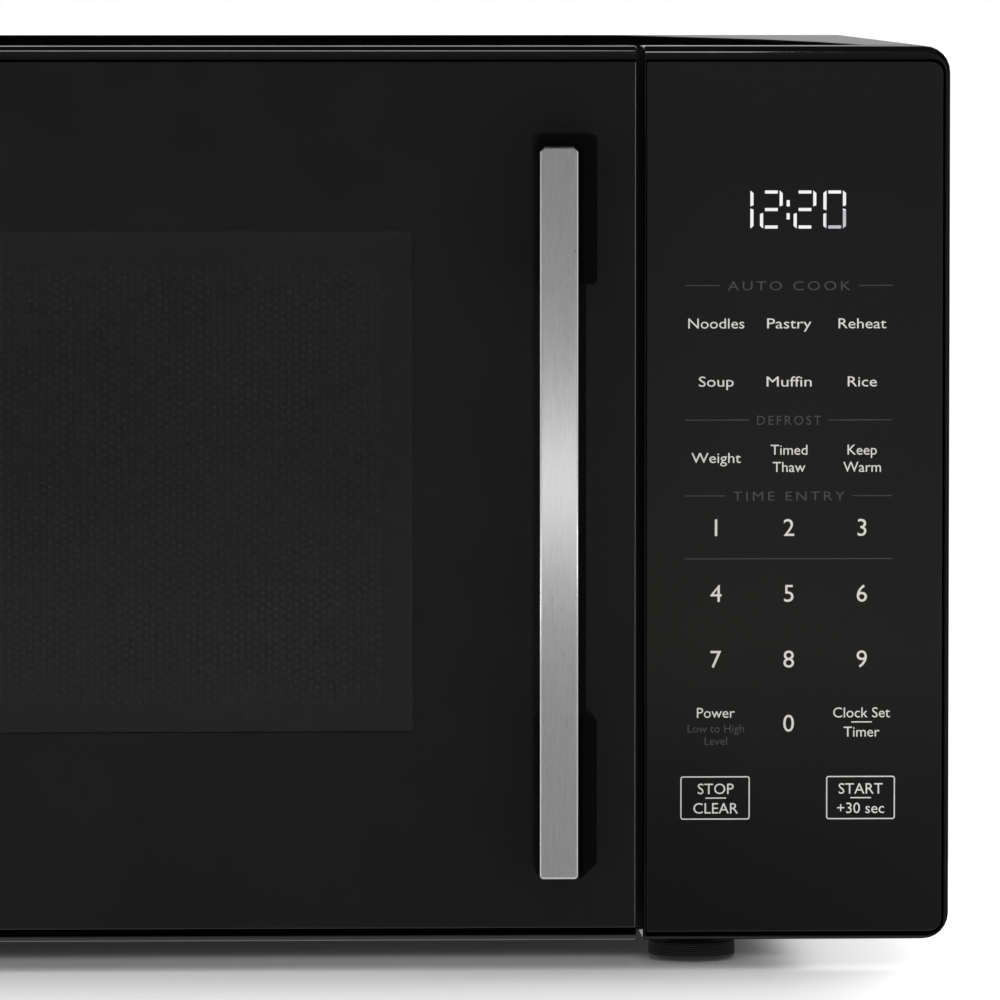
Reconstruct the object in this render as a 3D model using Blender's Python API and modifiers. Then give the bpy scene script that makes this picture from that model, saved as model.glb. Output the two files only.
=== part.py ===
"""Countertop microwave oven: cabinet, oven cavity, swinging door, turntable, interlocks and power parts.

Units are metres. +X is to the right of someone who faces the door, +Y is to the back and +Z is up. The
origin is on the surface that the feet stand on, below the middle of the oven's box.
"""

import math

import bmesh
import bpy
from mathutils import Matrix, Vector

# Driving dimensions
WIDTH = 0.6130
HEIGHT = 0.3551
FRONT = -0.2165  # plane of the door's and the control panel's front rims
REAR = 0.2455  # back edge of the cabinet wrap
HANDLE_FRONT = -0.2525
SPACER_BACK = 0.2525
BASE = 0.0117  # underside of the cabinet, door and panel
CORNER = 0.010  # radius of the oven's four long corners
SHEET = 0.0008  # steel sheet of the cabinet and the chassis
CAVITY_SHEET = 0.0007
GAP = 0.0003  # running gap between neighbouring pieces
FIT = 0.0004  # assembly clearance inside the cabinet wrap

HALF = WIDTH / 2
INNER_X = HALF - SHEET - FIT
INNER_TOP = HEIGHT - SHEET - FIT
INNER_CORNER = CORNER - SHEET - FIT
FLOOR_TOP = BASE + SHEET
ON_FLOOR = FLOOR_TOP + GAP
PLATE_FRONT = -0.1795
PLATE_BACK = -0.1785
REAR_PANEL_Y = (0.2430, 0.2438)

# Front: the door on the left, the control panel on the right
DOOR_RIGHT = 0.1861
PANEL_LEFT = 0.1888
DOOR_BACK = -0.1830
PANEL_BACK = -0.1803
GLASS_TOP = 0.3491
DOOR_GLASS_BOTTOM = 0.0165
PANEL_GLASS_BOTTOM = 0.0148
GLASS_FRONT = FRONT + 0.0002
GLASS = 0.0040
WINDOW_X = (-0.2360, 0.1004)
WINDOW_Z = (0.0921, 0.2843)

# Oven cavity, inside faces
CAVITY_X = (-0.2750, 0.1520)
CAVITY_Y = (-0.1782, 0.2260)
CAVITY_Z = (0.0440, 0.3220)

# Axes of the moving pieces
HINGE = Vector((-0.3005, -0.1880, 0.0))
TURNTABLE = Vector((-0.0615, 0.0245, 0.0))
TRAY_RADIUS = 0.1800
TRAY_BOTTOM = 0.0606
WHEEL_RADIUS = 0.0080
WHEEL_TRACK = 0.1140
WHEEL_HEIGHT = CAVITY_Z[0] + GAP + WHEEL_RADIUS
WHEEL_ANGLES = (30, 150, 270)
FAN = Vector((0.2320, 0.1930, 0.2500))
HOOK_X = (0.1646, 0.1694)
HOOK_Z = ((0.0760, 0.0880), (0.2680, 0.2800))
HOOK_TIP = -0.1640
LATCH_TOP = 0.2920
PLUNGER_X = 0.1670
PLUNGER_TIP = HOOK_TIP + 0.0004

# Handle
HANDLE_X = (0.1475, 0.1623)
HANDLE_Z = (0.0388, 0.3174)
GRIP_BACK = -0.2385
HANDLE_FOOT_X = (0.1470, 0.1698)
UPPER_FOOT_Z = (0.2647, 0.3219)
LOWER_FOOT_Z = (0.0380, 0.0998)

FOOT_RADIUS = 0.01685
FOOT_PLACES = {
    "front_left": (-0.2100, -0.1700),
    "front_right": (0.2100, -0.1700),
    "rear_left": (-0.2100, 0.2000),
    "rear_right": (0.2100, 0.2000),
}

CAPACITOR_TOP = 0.1030
TERMINAL_TOP = 0.1140

VENTS_IN_ROW = 12
VENT_PITCH = 0.009
VENT_WIDTH = 0.003

COLOURS = {
    # slot: (red, green, blue, roughness, metallic)
    "cabinet_paint": (0.012, 0.012, 0.013, 0.35, 0.0),
    "gloss_black": (0.010, 0.010, 0.011, 0.12, 0.0),
    "front_glass": (0.008, 0.008, 0.009, 0.04, 0.0),
    "clear_glass": (0.80, 0.84, 0.84, 0.03, 0.0),
    "brushed_steel": (0.60, 0.60, 0.60, 0.30, 1.0),
    "black_plastic": (0.015, 0.015, 0.016, 0.45, 0.0),
    "foot_rubber": (0.020, 0.020, 0.021, 0.60, 0.0),
    "zinc_steel": (0.55, 0.56, 0.57, 0.38, 1.0),
    "cavity_enamel": (0.52, 0.53, 0.52, 0.35, 0.0),
    "screen_steel": (0.030, 0.030, 0.032, 0.45, 0.0),
    "mica": (0.55, 0.48, 0.36, 0.55, 0.0),
    "natural_plastic": (0.72, 0.70, 0.64, 0.45, 0.0),
    "copper_winding": (0.62, 0.30, 0.14, 0.35, 0.0),
    "board_green": (0.020, 0.120, 0.060, 0.50, 0.0),
    "display": (0.020, 0.022, 0.022, 0.20, 0.0),
}


# ---------------------------------------------------------------- modelling tools


def clear_scene():
    for obj in list(bpy.data.objects):
        bpy.data.objects.remove(obj, do_unlink=True)


def new_collection(name):
    collection = bpy.data.collections.new(name)
    bpy.context.scene.collection.children.link(collection)
    return collection


clear_scene()
PARTS = new_collection("microwave_oven")
CUTTERS = new_collection("cutters")


def make_material(slot):
    red, green, blue, roughness, metallic = COLOURS[slot]
    material = bpy.data.materials.new(slot)
    material.use_nodes = True
    shader = material.node_tree.nodes["Principled BSDF"]
    shader.inputs["Base Color"].default_value = (red, green, blue, 1.0)
    shader.inputs["Roughness"].default_value = roughness
    shader.inputs["Metallic"].default_value = metallic
    material.diffuse_color = (red, green, blue, 1.0)
    return material


MATERIALS = {slot: make_material(slot) for slot in COLOURS}


def add_object(name, bm, place, slot):
    """Link a mesh as an object: a part with its material or, where slot is None, a hidden tool."""
    bmesh.ops.recalc_face_normals(bm, faces=bm.faces)
    mesh = bpy.data.meshes.new(name)
    bm.to_mesh(mesh)
    bm.free()
    obj = bpy.data.objects.new(name, mesh)
    obj.location = place
    if slot is None:
        CUTTERS.objects.link(obj)
        obj.hide_render = True
        obj.display_type = "WIRE"
    else:
        PARTS.objects.link(obj)
        mesh.materials.append(MATERIALS[slot])
    return obj


def middle(x, y, z):
    return Vector((sum(x) / 2, sum(y) / 2, sum(z) / 2))


def cube_in(bm, x, y, z, around):
    """Add a box that spans x, y and z, measured from the point around."""
    size = Vector((x[1] - x[0], y[1] - y[0], z[1] - z[0]))
    place = middle(x, y, z) - around
    bmesh.ops.create_cube(bm, size=1.0, matrix=Matrix.LocRotScale(place, None, size))


def box(name, x, y, z, slot=None):
    place = middle(x, y, z)
    bm = bmesh.new()
    cube_in(bm, x, y, z, place)
    return add_object(name, bm, place, slot)


def boxes(name, spans):
    """One hidden tool made of several boxes that stay clear of each other."""
    place = middle(*spans[0])
    bm = bmesh.new()
    for x, y, z in spans:
        cube_in(bm, x, y, z, place)
    return add_object(name, bm, place, None)


TURNS = {
    "X": Matrix.Rotation(math.pi / 2, 4, "Y"),
    "Y": Matrix.Rotation(-math.pi / 2, 4, "X"),
    "Z": Matrix.Identity(4),
}


def rod(name, axis, place, radius, length, slot=None, segments=24):
    """A cylinder about a world axis, centred on place."""
    bm = bmesh.new()
    bmesh.ops.create_cone(
        bm,
        cap_ends=True,
        segments=segments,
        radius1=radius,
        radius2=radius,
        depth=length,
        matrix=TURNS[axis],
    )
    return add_object(name, bm, place, slot)


def combine(obj, tool, operation):
    modifier = obj.modifiers.new(tool.name, "BOOLEAN")
    modifier.operation = operation
    modifier.solver = "EXACT"
    modifier.object = tool
    return obj


def cut(obj, tool):
    return combine(obj, tool, "DIFFERENCE")


def join(obj, tool):
    return combine(obj, tool, "UNION")


def bevel_edges(obj, axis, radius, segments, wanted=lambda place: True):
    """Round the mesh's edges that run along axis and whose world midpoint is wanted."""
    way = "XYZ".index(axis)
    bm = bmesh.new()
    bm.from_mesh(obj.data)
    chosen = []
    for edge in bm.edges:
        along = (edge.verts[1].co - edge.verts[0].co).normalized()
        place = (edge.verts[0].co + edge.verts[1].co) / 2 + obj.location
        if abs(along[way]) > 0.999 and wanted(place):
            chosen.append(edge)
    bmesh.ops.bevel(
        bm,
        geom=chosen,
        offset=radius,
        offset_type="OFFSET",
        segments=segments,
        profile=0.5,
        affect="EDGES",
        clamp_overlap=True,
    )
    bm.to_mesh(obj.data)
    bm.free()
    return obj


def smooth(obj, degrees=35):
    obj.data.shade_smooth()
    obj.data.set_sharp_from_angle(angle=math.radians(degrees))
    return obj


def turned(name, profile, place, slot, steps=32, axis="Z", closed=False):
    """Turn a profile of (radius, height) points, listed down its outer side, about an axis at place."""
    bm = bmesh.new()
    points = [bm.verts.new((radius, 0.0, height)) for radius, height in profile]
    for first, second in zip(points, points[1:]):
        bm.edges.new((first, second))
    if closed:
        bm.edges.new((points[-1], points[0]))
    mesh = bpy.data.meshes.new(name)
    bm.to_mesh(mesh)
    bm.free()
    obj = bpy.data.objects.new(name, mesh)
    obj.location = place
    obj.rotation_euler = TURNS[axis].to_euler()
    screw = obj.modifiers.new("turn", "SCREW")
    screw.steps = steps
    screw.render_steps = steps
    screw.use_merge_vertices = True
    screw.merge_threshold = 0.00001
    screw.use_smooth_shade = True
    if slot is None:
        CUTTERS.objects.link(obj)
        obj.hide_render = True
        obj.display_type = "WIRE"
    else:
        PARTS.objects.link(obj)
        mesh.materials.append(MATERIALS[slot])
    return obj


def outline(name, points, span, axis="Y", slot=None):
    """A flat outline as a solid that spans the given axis, made a mesh so that it can be cut.

    The points are (x, z) for the Y axis and (y, z) for the X axis.
    """
    first = points[0]
    depth = sum(span) / 2
    place = Vector((first[0], depth, first[1]) if axis == "Y" else (depth, first[0], first[1]))
    curve = bpy.data.curves.new(name, "CURVE")
    curve.dimensions = "2D"
    curve.fill_mode = "BOTH"
    curve.extrude = (span[1] - span[0]) / 2
    spline = curve.splines.new("POLY")
    spline.points.add(len(points) - 1)
    for point, (across, height) in zip(spline.points, points):
        point.co = (across - first[0], height - first[1], 0.0, 1.0)
    spline.use_cyclic_u = True
    guide = bpy.data.objects.new(name + "_curve", curve)
    guide.location = place
    guide.rotation_euler = (math.pi / 2, 0.0, 0.0 if axis == "Y" else math.pi / 2)
    CUTTERS.objects.link(guide)
    bpy.context.view_layer.update()
    graph = bpy.context.evaluated_depsgraph_get()
    mesh = bpy.data.meshes.new_from_object(guide.evaluated_get(graph))
    bm = bmesh.new()
    bm.from_mesh(mesh)
    bmesh.ops.remove_doubles(bm, verts=bm.verts, dist=0.00001)
    obj = add_object(name, bm, place, slot)
    obj.matrix_world = guide.matrix_world.copy()
    bpy.data.objects.remove(guide, do_unlink=True)
    bpy.data.meshes.remove(mesh)
    bpy.data.curves.remove(curve)
    return obj


def arc(centre, radius, start, end, steps):
    """Points of an arc in (x, z), in degrees."""
    points = []
    for step in range(steps + 1):
        angle = math.radians(start + (end - start) * step / steps)
        points.append((centre[0] + radius * math.cos(angle), centre[1] + radius * math.sin(angle)))
    return points


def axis_empty(name, place, parent=None):
    empty = bpy.data.objects.new(name, None)
    empty.empty_display_size = 0.02
    PARTS.objects.link(empty)
    empty.location = place
    if parent:
        attach(parent, empty)
    return empty


def attach(empty, *pieces):
    """Parent pieces to an unrotated empty and keep them where they are."""
    bpy.context.view_layer.update()
    for piece in pieces:
        piece.parent = empty
        piece.location = piece.location - empty.matrix_world.translation
    bpy.context.view_layer.update()


def radial_tool(name, x, y, z, place, angle):
    """A hidden box drawn about the origin, then turned about +Z through place by an angle in degrees."""
    tool = box(name, x, y, z)
    tool.data.transform(Matrix.Translation(tool.location))
    tool.location = place
    tool.rotation_euler = (0.0, 0.0, math.radians(angle))
    return tool


# ---------------------------------------------------------------- chassis and covers


def side_vents(name, side, heights):
    """Rows of upright slots in one side of the cabinet, towards the back."""
    reach = sorted((side * (HALF - 0.004), side * (HALF + 0.002)))
    slots = []
    for height in heights:
        for number in range(VENTS_IN_ROW):
            y = 0.095 + VENT_PITCH * number
            slots.append((reach, (y, y + VENT_WIDTH), (height, height + 0.034)))
    return boxes(name, slots)


def make_outer_cabinet():
    """The painted wrap: one sheet folded over the left side, the top and the right side."""
    left = arc((-HALF + CORNER, HEIGHT - CORNER), CORNER, 180, 90, 6)
    right = arc((HALF - CORNER, HEIGHT - CORNER), CORNER, 90, 0, 6)
    path = [(-HALF, BASE), *left, *right, (HALF, BASE)]
    bm = bmesh.new()
    verts = [bm.verts.new((x, PLATE_FRONT, z)) for x, z in path]
    edges = [bm.edges.new(pair) for pair in zip(verts, verts[1:])]
    grown = bmesh.ops.extrude_edge_only(bm, edges=edges)["geom"]
    far_verts = [item for item in grown if isinstance(item, bmesh.types.BMVert)]
    bmesh.ops.translate(bm, verts=far_verts, vec=(0.0, REAR - PLATE_FRONT, 0.0))
    cabinet = add_object("outer_cabinet", bm, (0.0, 0.0, 0.0), "cabinet_paint")
    centre = Vector((0.0, 0.0, HEIGHT / 2))
    outward = cabinet.data.polygons[0].normal.dot(cabinet.data.polygons[0].center - centre) > 0
    shell = cabinet.modifiers.new("sheet", "SOLIDIFY")
    shell.thickness = SHEET
    shell.offset = -1.0 if outward else 1.0
    shell.use_flip_normals = not outward
    shell.use_even_offset = True
    cut(cabinet, side_vents("right_side_vents", 1, (0.228, 0.272)))
    cut(cabinet, side_vents("left_side_vents", -1, (0.050,)))
    return smooth(cabinet)


def make_base_plate():
    """The floor, with a flange folded up along each side."""
    flange_top = 0.0270
    inside = INNER_X - SHEET
    section = [
        (-INNER_X, BASE),
        (INNER_X, BASE),
        (INNER_X, flange_top),
        (inside, flange_top),
        (inside, FLOOR_TOP),
        (-inside, FLOOR_TOP),
        (-inside, flange_top),
        (-INNER_X, flange_top),
    ]
    plate = outline("base_plate", section, (-0.1780, 0.2426), slot="zinc_steel")
    slots = []
    for number in range(VENTS_IN_ROW):
        y = -0.060 + VENT_PITCH * number
        slots.append(((0.190, 0.250), (y, y + VENT_WIDTH), (BASE - 0.002, FLOOR_TOP + 0.002)))
    cut(plate, boxes("base_vents", slots))
    return plate


def make_rear_panel():
    panel = box("rear_panel", (-INNER_X, INNER_X), REAR_PANEL_Y, (ON_FLOOR, INNER_TOP), "zinc_steel")
    bevel_edges(panel, "Y", INNER_CORNER, 4, lambda place: place.z > 0.3)
    slots = []
    for height in (0.215, 0.265):
        for number in range(VENTS_IN_ROW):
            x = 0.180 + VENT_PITCH * number
            slots.append(((x, x + VENT_WIDTH), (0.241, 0.246), (height, height + 0.040)))
    cut(panel, boxes("rear_vents", slots))
    hole = (0.2700, sum(REAR_PANEL_Y) / 2, 0.0600)
    return cut(panel, rod("cord_hole", "Y", hole, 0.0090, 0.010))


def make_front_plate():
    """The steel plate round the oven's mouth, with slots for the hinge arms and the latch hooks."""
    reach = (PLATE_FRONT - 0.002, PLATE_BACK + 0.002)
    spans = ((-INNER_X, INNER_X), (PLATE_FRONT, PLATE_BACK), (ON_FLOOR, INNER_TOP))
    plate = box("front_plate", *spans, "cabinet_paint")
    bevel_edges(plate, "Y", INNER_CORNER, 4, lambda place: place.z > 0.3)
    openings = [
        (CAVITY_X, reach, CAVITY_Z),
        ((0.1628, 0.1722), reach, (0.0670, 0.0955)),
        ((0.1628, 0.1722), reach, (0.2590, 0.2875)),
        ((0.2220, 0.2720), reach, (0.0600, 0.2600)),
        ((-0.3034, -0.2976), reach, (0.3350, 0.3380)),
        ((-0.3034, -0.2976), reach, (0.0290, 0.0320)),
    ]
    return cut(plate, boxes("front_plate_openings", openings))


def make_hinge_bracket(name, arm_z, pin_z, flange_z):
    """A steel bracket: its flange is behind the front plate, and its arm carries the door's pin."""
    arm_x = (HINGE.x - 0.0025, HINGE.x + 0.0025)
    bracket = box(name, (-0.3042, -0.2800), (-0.1782, -0.1767), flange_z, "zinc_steel")
    join(bracket, box(name + "_arm", arm_x, (HINGE.y, -0.1770), arm_z))
    eye = (HINGE.x, HINGE.y, sum(arm_z) / 2)
    join(bracket, rod(name + "_eye", "Z", eye, 0.0025, arm_z[1] - arm_z[0], segments=20))
    pin = (HINGE.x, HINGE.y, sum(pin_z) / 2)
    return join(bracket, rod(name + "_pin", "Z", pin, 0.0022, pin_z[1] - pin_z[0], segments=20))


def make_foot(name, place):
    """A moulded foot: a neck against the base, and a wider ribbed pad with a rounded sole."""
    sole = arc((FOOT_RADIUS - 0.0026, 0.0026), 0.0026, 0, -90, 4)
    profile = [
        (0.0, BASE - GAP),
        (0.0080, BASE - GAP),
        (0.0080, 0.0078),
        (FOOT_RADIUS - 0.0007, 0.0078),
        (FOOT_RADIUS, 0.0071),
        *sole,
        (0.0, 0.0),
    ]
    return turned(name, profile, (place[0], place[1], 0.0), "foot_rubber", steps=32)


def make_rear_spacer(name, x):
    depth = (REAR_PANEL_Y[1] + GAP, SPACER_BACK)
    spacer = box(name, (x - 0.011, x + 0.011), depth, (0.2950, 0.3170), "black_plastic")
    return bevel_edges(spacer, "Y", 0.0040, 3)


def make_cord_gland():
    """The bush in the rear panel that the mains lead would come out of."""
    profile = [
        (0.0040, 0.0080),
        (0.0070, 0.0080),
        (0.0115, 0.0040),
        (0.0115, 0.0011),
        (0.0086, 0.0011),
        (0.0086, -0.0060),
        (0.0040, -0.0060),
    ]
    place = (0.2700, sum(REAR_PANEL_Y) / 2, 0.0600)
    return turned("cord_gland", profile, place, "black_plastic", steps=24, axis="Y", closed=True)


def make_cabinet_screw(name, x, z):
    profile = [(0.0, 0.0023), (0.0024, 0.0020), (0.0040, 0.0006), (0.0040, 0.0), (0.0, 0.0)]
    place = (x, REAR_PANEL_Y[1] + GAP, z)
    return turned(name, profile, place, "zinc_steel", steps=20, axis="Y")


# ---------------------------------------------------------------- oven cavity


def make_oven_cavity():
    sheet = CAVITY_SHEET
    outer_x = (CAVITY_X[0] - sheet, CAVITY_X[1] + sheet)
    outer_z = (CAVITY_Z[0] - sheet, CAVITY_Z[1] + sheet)
    cavity = box("oven_cavity", outer_x, (CAVITY_Y[0], CAVITY_Y[1] + sheet), outer_z, "cavity_enamel")
    cut(cavity, box("cavity_inside", CAVITY_X, (CAVITY_Y[0] - 0.01, CAVITY_Y[1]), CAVITY_Z))
    hole = (TURNTABLE.x, TURNTABLE.y, CAVITY_Z[0])
    cut(cavity, rod("shaft_hole", "Z", hole, 0.0070, 0.010))
    port = box("waveguide_port", (0.1500, 0.1550), (-0.0300, 0.0500), (0.2000, 0.2600))
    cut(cavity, port)
    spans = []
    for row in range(3):
        for column in range(3):
            y = 0.128 + 0.007 * column
            z = 0.294 + 0.007 * row
            spans.append(((0.1500, 0.1550), (y, y + 0.003), (z, z + 0.003)))
    return cut(cavity, boxes("lamp_holes", spans))


def make_waveguide_cover():
    sheet = box("waveguide_cover", (0.1508, 0.1517), (-0.0400, 0.0600), (0.1900, 0.2700), "mica")
    return bevel_edges(sheet, "X", 0.0050, 3)


def make_waveguide():
    """A short rectangular duct on the cavity's right wall, with a hole for the magnetron's antenna."""
    wall = 0.0010
    x = (0.1533, 0.1780)
    y = (-0.0350, 0.0900)
    z = (0.1950, 0.2650)
    duct = box("waveguide", x, y, z, "zinc_steel")
    inner_y = (y[0] + wall, y[1] - wall)
    cut(duct, box("duct_inside", (x[0] - 0.01, x[1] - wall), inner_y, (z[0] + wall, z[1] - wall)))
    return cut(duct, rod("antenna_hole", "X", (0.1775, 0.0600, 0.2300), 0.0115, 0.010))


def make_magnetron():
    """The yoke with its cooling fins, and the antenna that reaches into the waveguide."""
    body = box("magnetron", (0.1795, 0.2550), (0.0200, 0.1000), (0.1880, 0.2720), "zinc_steel")
    gaps = []
    for number in range(6):
        x = 0.1880 + 0.0100 * number
        for side in ((0.0180, 0.0420), (0.0780, 0.1020)):
            gaps.append(((x, x + 0.0080), side, (0.1960, 0.2640)))
    cut(body, boxes("fin_gaps", gaps))
    return join(body, rod("antenna", "X", (0.1700, 0.0600, 0.2300), 0.0090, 0.022))


def make_cavity_lamp():
    """The lamp behind the lamp holes: a glass bulb in its moulded holder."""
    spans = ((0.1740, 0.1960), (0.1240, 0.1500), (0.2880, 0.3140))
    holder = box("cavity_lamp", *spans, "natural_plastic")
    join(holder, rod("bulb", "X", (0.1660, 0.1370, 0.3010), 0.0080, 0.020, segments=20))
    return holder


def make_thermal_cutout():
    body = rod("thermal_cutout", "Z", (0.0900, 0.1500, 0.3270), 0.0085, 0.0070, "black_plastic")
    join(body, box("cutout_tab", (0.0760, 0.1040), (0.1460, 0.1540), (0.3233, 0.3245)))
    return smooth(body)


# ---------------------------------------------------------------- power parts


def make_transformer_core():
    spans = ((0.1860, 0.2620), (0.0700, 0.1500), (ON_FLOOR, 0.0840))
    core = box("transformer_core", *spans, "zinc_steel")
    windows = [
        ((0.1990, 0.2120), (0.0600, 0.1600), (0.0300, 0.0680)),
        ((0.2360, 0.2490), (0.0600, 0.1600), (0.0300, 0.0680)),
    ]
    return cut(core, boxes("core_windows", windows))


def make_transformer_coil():
    """The windings round the core's middle leg."""
    spans = ((0.1994, 0.2486), (0.0590, 0.1610), (0.0304, 0.0676))
    coil = box("transformer_coil", *spans, "copper_winding")
    bevel_edges(coil, "Z", 0.0080, 3)
    return cut(coil, box("middle_leg", (0.2116, 0.2364), (0.0696, 0.1504), (0.0200, 0.0800)))


def make_capacitor():
    depth = (0.1700, 0.2020)
    can = box("capacitor", (0.1860, 0.2380), depth, (ON_FLOOR, CAPACITOR_TOP), "zinc_steel")
    bevel_edges(can, "Z", 0.0150, 5)
    for x in (0.2010, 0.2230):
        height = (CAPACITOR_TOP - 0.002, TERMINAL_TOP)
        join(can, box("terminal", (x - 0.003, x + 0.003), (0.1855, 0.1865), height))
    return smooth(can)


def make_hv_diode():
    """The diode lies over the capacitor's terminals, held by its two leads."""
    lead = 0.0008
    place = (0.2120, 0.1860, TERMINAL_TOP + GAP + lead)
    body = rod("hv_diode", "X", place, 0.0036, 0.014, "black_plastic", segments=16)
    return join(body, rod("diode_leads", "X", place, lead, 0.040, segments=8))


def make_fan_shroud():
    """The plate that carries the fan, with a short round throat."""
    spans = ((0.1640, 0.3000), (0.2020, 0.2040), (0.1820, 0.3180))
    plate = box("fan_shroud", *spans, "black_plastic")
    throat = (FAN.x, 0.1960, FAN.z)
    join(plate, rod("throat", "Y", throat, 0.0580, 0.016, segments=40))
    return cut(plate, rod("throat_bore", "Y", throat, 0.0560, 0.060, segments=40))


def make_fan_motor():
    motor = box("fan_motor", (0.2070, 0.2570), (0.2120, 0.2360), (0.2250, 0.2750), "zinc_steel")
    bevel_edges(motor, "Y", 0.0060, 3)
    for side in (-1, 1):
        reach = sorted((FAN.x + side * 0.0200, FAN.x + side * 0.0640))
        join(motor, box("motor_strut", reach, (0.2060, 0.2130), (FAN.z - 0.006, FAN.z + 0.006)))
    shaft = rod("motor_shaft", "Y", (FAN.x, 0.2040, FAN.z), 0.0015, 0.022, segments=12)
    return join(motor, shaft)


def make_fan_blade():
    """A hub with five pitched blades."""
    fan = rod("fan_blade", "Y", FAN, 0.0130, 0.0140, "natural_plastic")
    for number in range(5):
        blade = box("blade", (-0.0110, 0.0110), (-0.0008, 0.0008), (0.0100, 0.0520))
        blade.data.transform(Matrix.Translation(blade.location))
        blade.data.transform(Matrix.Rotation(math.radians(28), 4, "Z"))
        blade.data.transform(Matrix.Rotation(math.radians(72 * number + 18), 4, "Y"))
        blade.location = FAN
        join(fan, blade)
    cut(fan, rod("hub_bore", "Y", FAN + Vector((0.0, 0.0050, 0.0)), 0.0020, 0.016, segments=12))
    return fan


def make_filter_board():
    board = box("filter_board", (0.1980, 0.2900), (0.1000, 0.1700), (0.3330, 0.3346), "board_green")
    for x, depth in ((0.2120, 0.020), (0.2420, 0.014), (0.2700, 0.018)):
        height = (0.3340 - depth, 0.3340)
        join(board, box("filter_block", (x - 0.009, x + 0.009), (0.1150, 0.1450), height))
    return board


# ---------------------------------------------------------------- interlock behind the front plate


def make_interlock_bracket():
    """The moulding behind the front plate that guides the hooks and carries the switches."""
    height = (0.0560, 0.2980)
    flange_y = (PLATE_BACK + 0.0004, -0.1761)
    bracket = box("interlock_bracket", (0.1575, 0.1860), flange_y, height, "natural_plastic")
    join(bracket, box("switch_rib", (0.1735, 0.1755), (-0.1770, -0.1340), height))
    slots = [
        ((0.1625, 0.1725), (-0.1800, -0.1740), (0.0670, 0.0955)),
        ((0.1625, 0.1725), (-0.1800, -0.1740), (0.2590, 0.2875)),
    ]
    return cut(bracket, boxes("hook_slots", slots))


def make_switch(name, height):
    body_z = (height - 0.0028, height + 0.0028)
    body = box(name, (0.1575, 0.1731), (-0.1605, -0.1440), body_z, "black_plastic")
    bore = rod(name + "_bore", "Y", (PLUNGER_X, -0.1585, height), 0.0018, 0.0060, segments=12)
    cut(body, bore)
    tabs = [
        ((0.1600, 0.1630), (-0.1450, -0.1390), (height - 0.0005, height + 0.0005)),
        ((0.1680, 0.1710), (-0.1450, -0.1390), (height - 0.0005, height + 0.0005)),
    ]
    for span in tabs:
        join(body, box(name + "_tab", *span))
    return body


def make_plunger(name, height):
    length = 0.0044
    place = Vector((PLUNGER_X, PLUNGER_TIP + length / 2, height))
    plunger = rod(name, "Y", place, 0.0014, length, "natural_plastic", segments=12)
    attach(axis_empty(name + "_axis", place), plunger)
    return plunger


# ---------------------------------------------------------------- control panel


def make_control_panel_frame():
    spans = ((PANEL_LEFT, HALF), (FRONT, PANEL_BACK), (BASE, HEIGHT))
    frame = box("control_panel_frame", *spans, "gloss_black")
    bevel_edges(frame, "Y", CORNER, 6, lambda place: place.x > 0.3)
    pocket = box(
        "panel_pocket",
        (0.1897, 0.3040),
        (FRONT - 0.01, GLASS_FRONT + GLASS + GAP),
        (PANEL_GLASS_BOTTOM - GAP, GLASS_TOP + GAP),
    )
    bevel_edges(pocket, "Y", 0.0050, 4, lambda place: place.x > 0.3)
    cut(frame, pocket)
    hollow = box("panel_hollow", (0.1904, 0.3045), (-0.2100, -0.1700), (0.0140, 0.3528))
    bevel_edges(hollow, "Y", 0.0070, 4, lambda place: place.x > 0.3)
    cut(frame, hollow)
    return cut(frame, box("panel_through", (0.1950, 0.2990), (-0.2140, -0.2050), (0.0220, 0.3410)))


def make_panel_glass():
    glass = box(
        "panel_glass",
        (0.1900, 0.3037),
        (GLASS_FRONT, GLASS_FRONT + GLASS),
        (PANEL_GLASS_BOTTOM, GLASS_TOP),
        "front_glass",
    )
    return bevel_edges(glass, "Y", 0.0047, 4, lambda place: place.x > 0.3)


def make_touch_sheet():
    """The printed film with the touch keys' electrodes, behind the glass."""
    spans = ((0.1970, 0.2970), (-0.2118, -0.2110), (0.0520, 0.2720))
    return box("touch_sheet", *spans, "natural_plastic")


def make_display_module():
    spans = ((0.2220, 0.2740), (-0.2118, -0.2060), (0.2770, 0.3070))
    return box("display_module", *spans, "display")


def make_control_board():
    spans = ((0.1980, 0.2960), (-0.2046, -0.2030), (0.0400, 0.3300))
    board = box("control_board", *spans, "board_green")
    blocks = (
        ((0.2050, 0.2250), (0.0600, 0.0760), 0.0150),
        ((0.2330, 0.2480), (0.0600, 0.0760), 0.0150),
        ((0.2600, 0.2850), (0.0550, 0.0850), 0.0120),
        ((0.2250, 0.2500), (0.1700, 0.1950), 0.0040),
    )
    for x, z, depth in blocks:
        join(board, box("board_block", x, (-0.2038, -0.2030 + depth), z))
    return board


# ---------------------------------------------------------------- door


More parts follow.
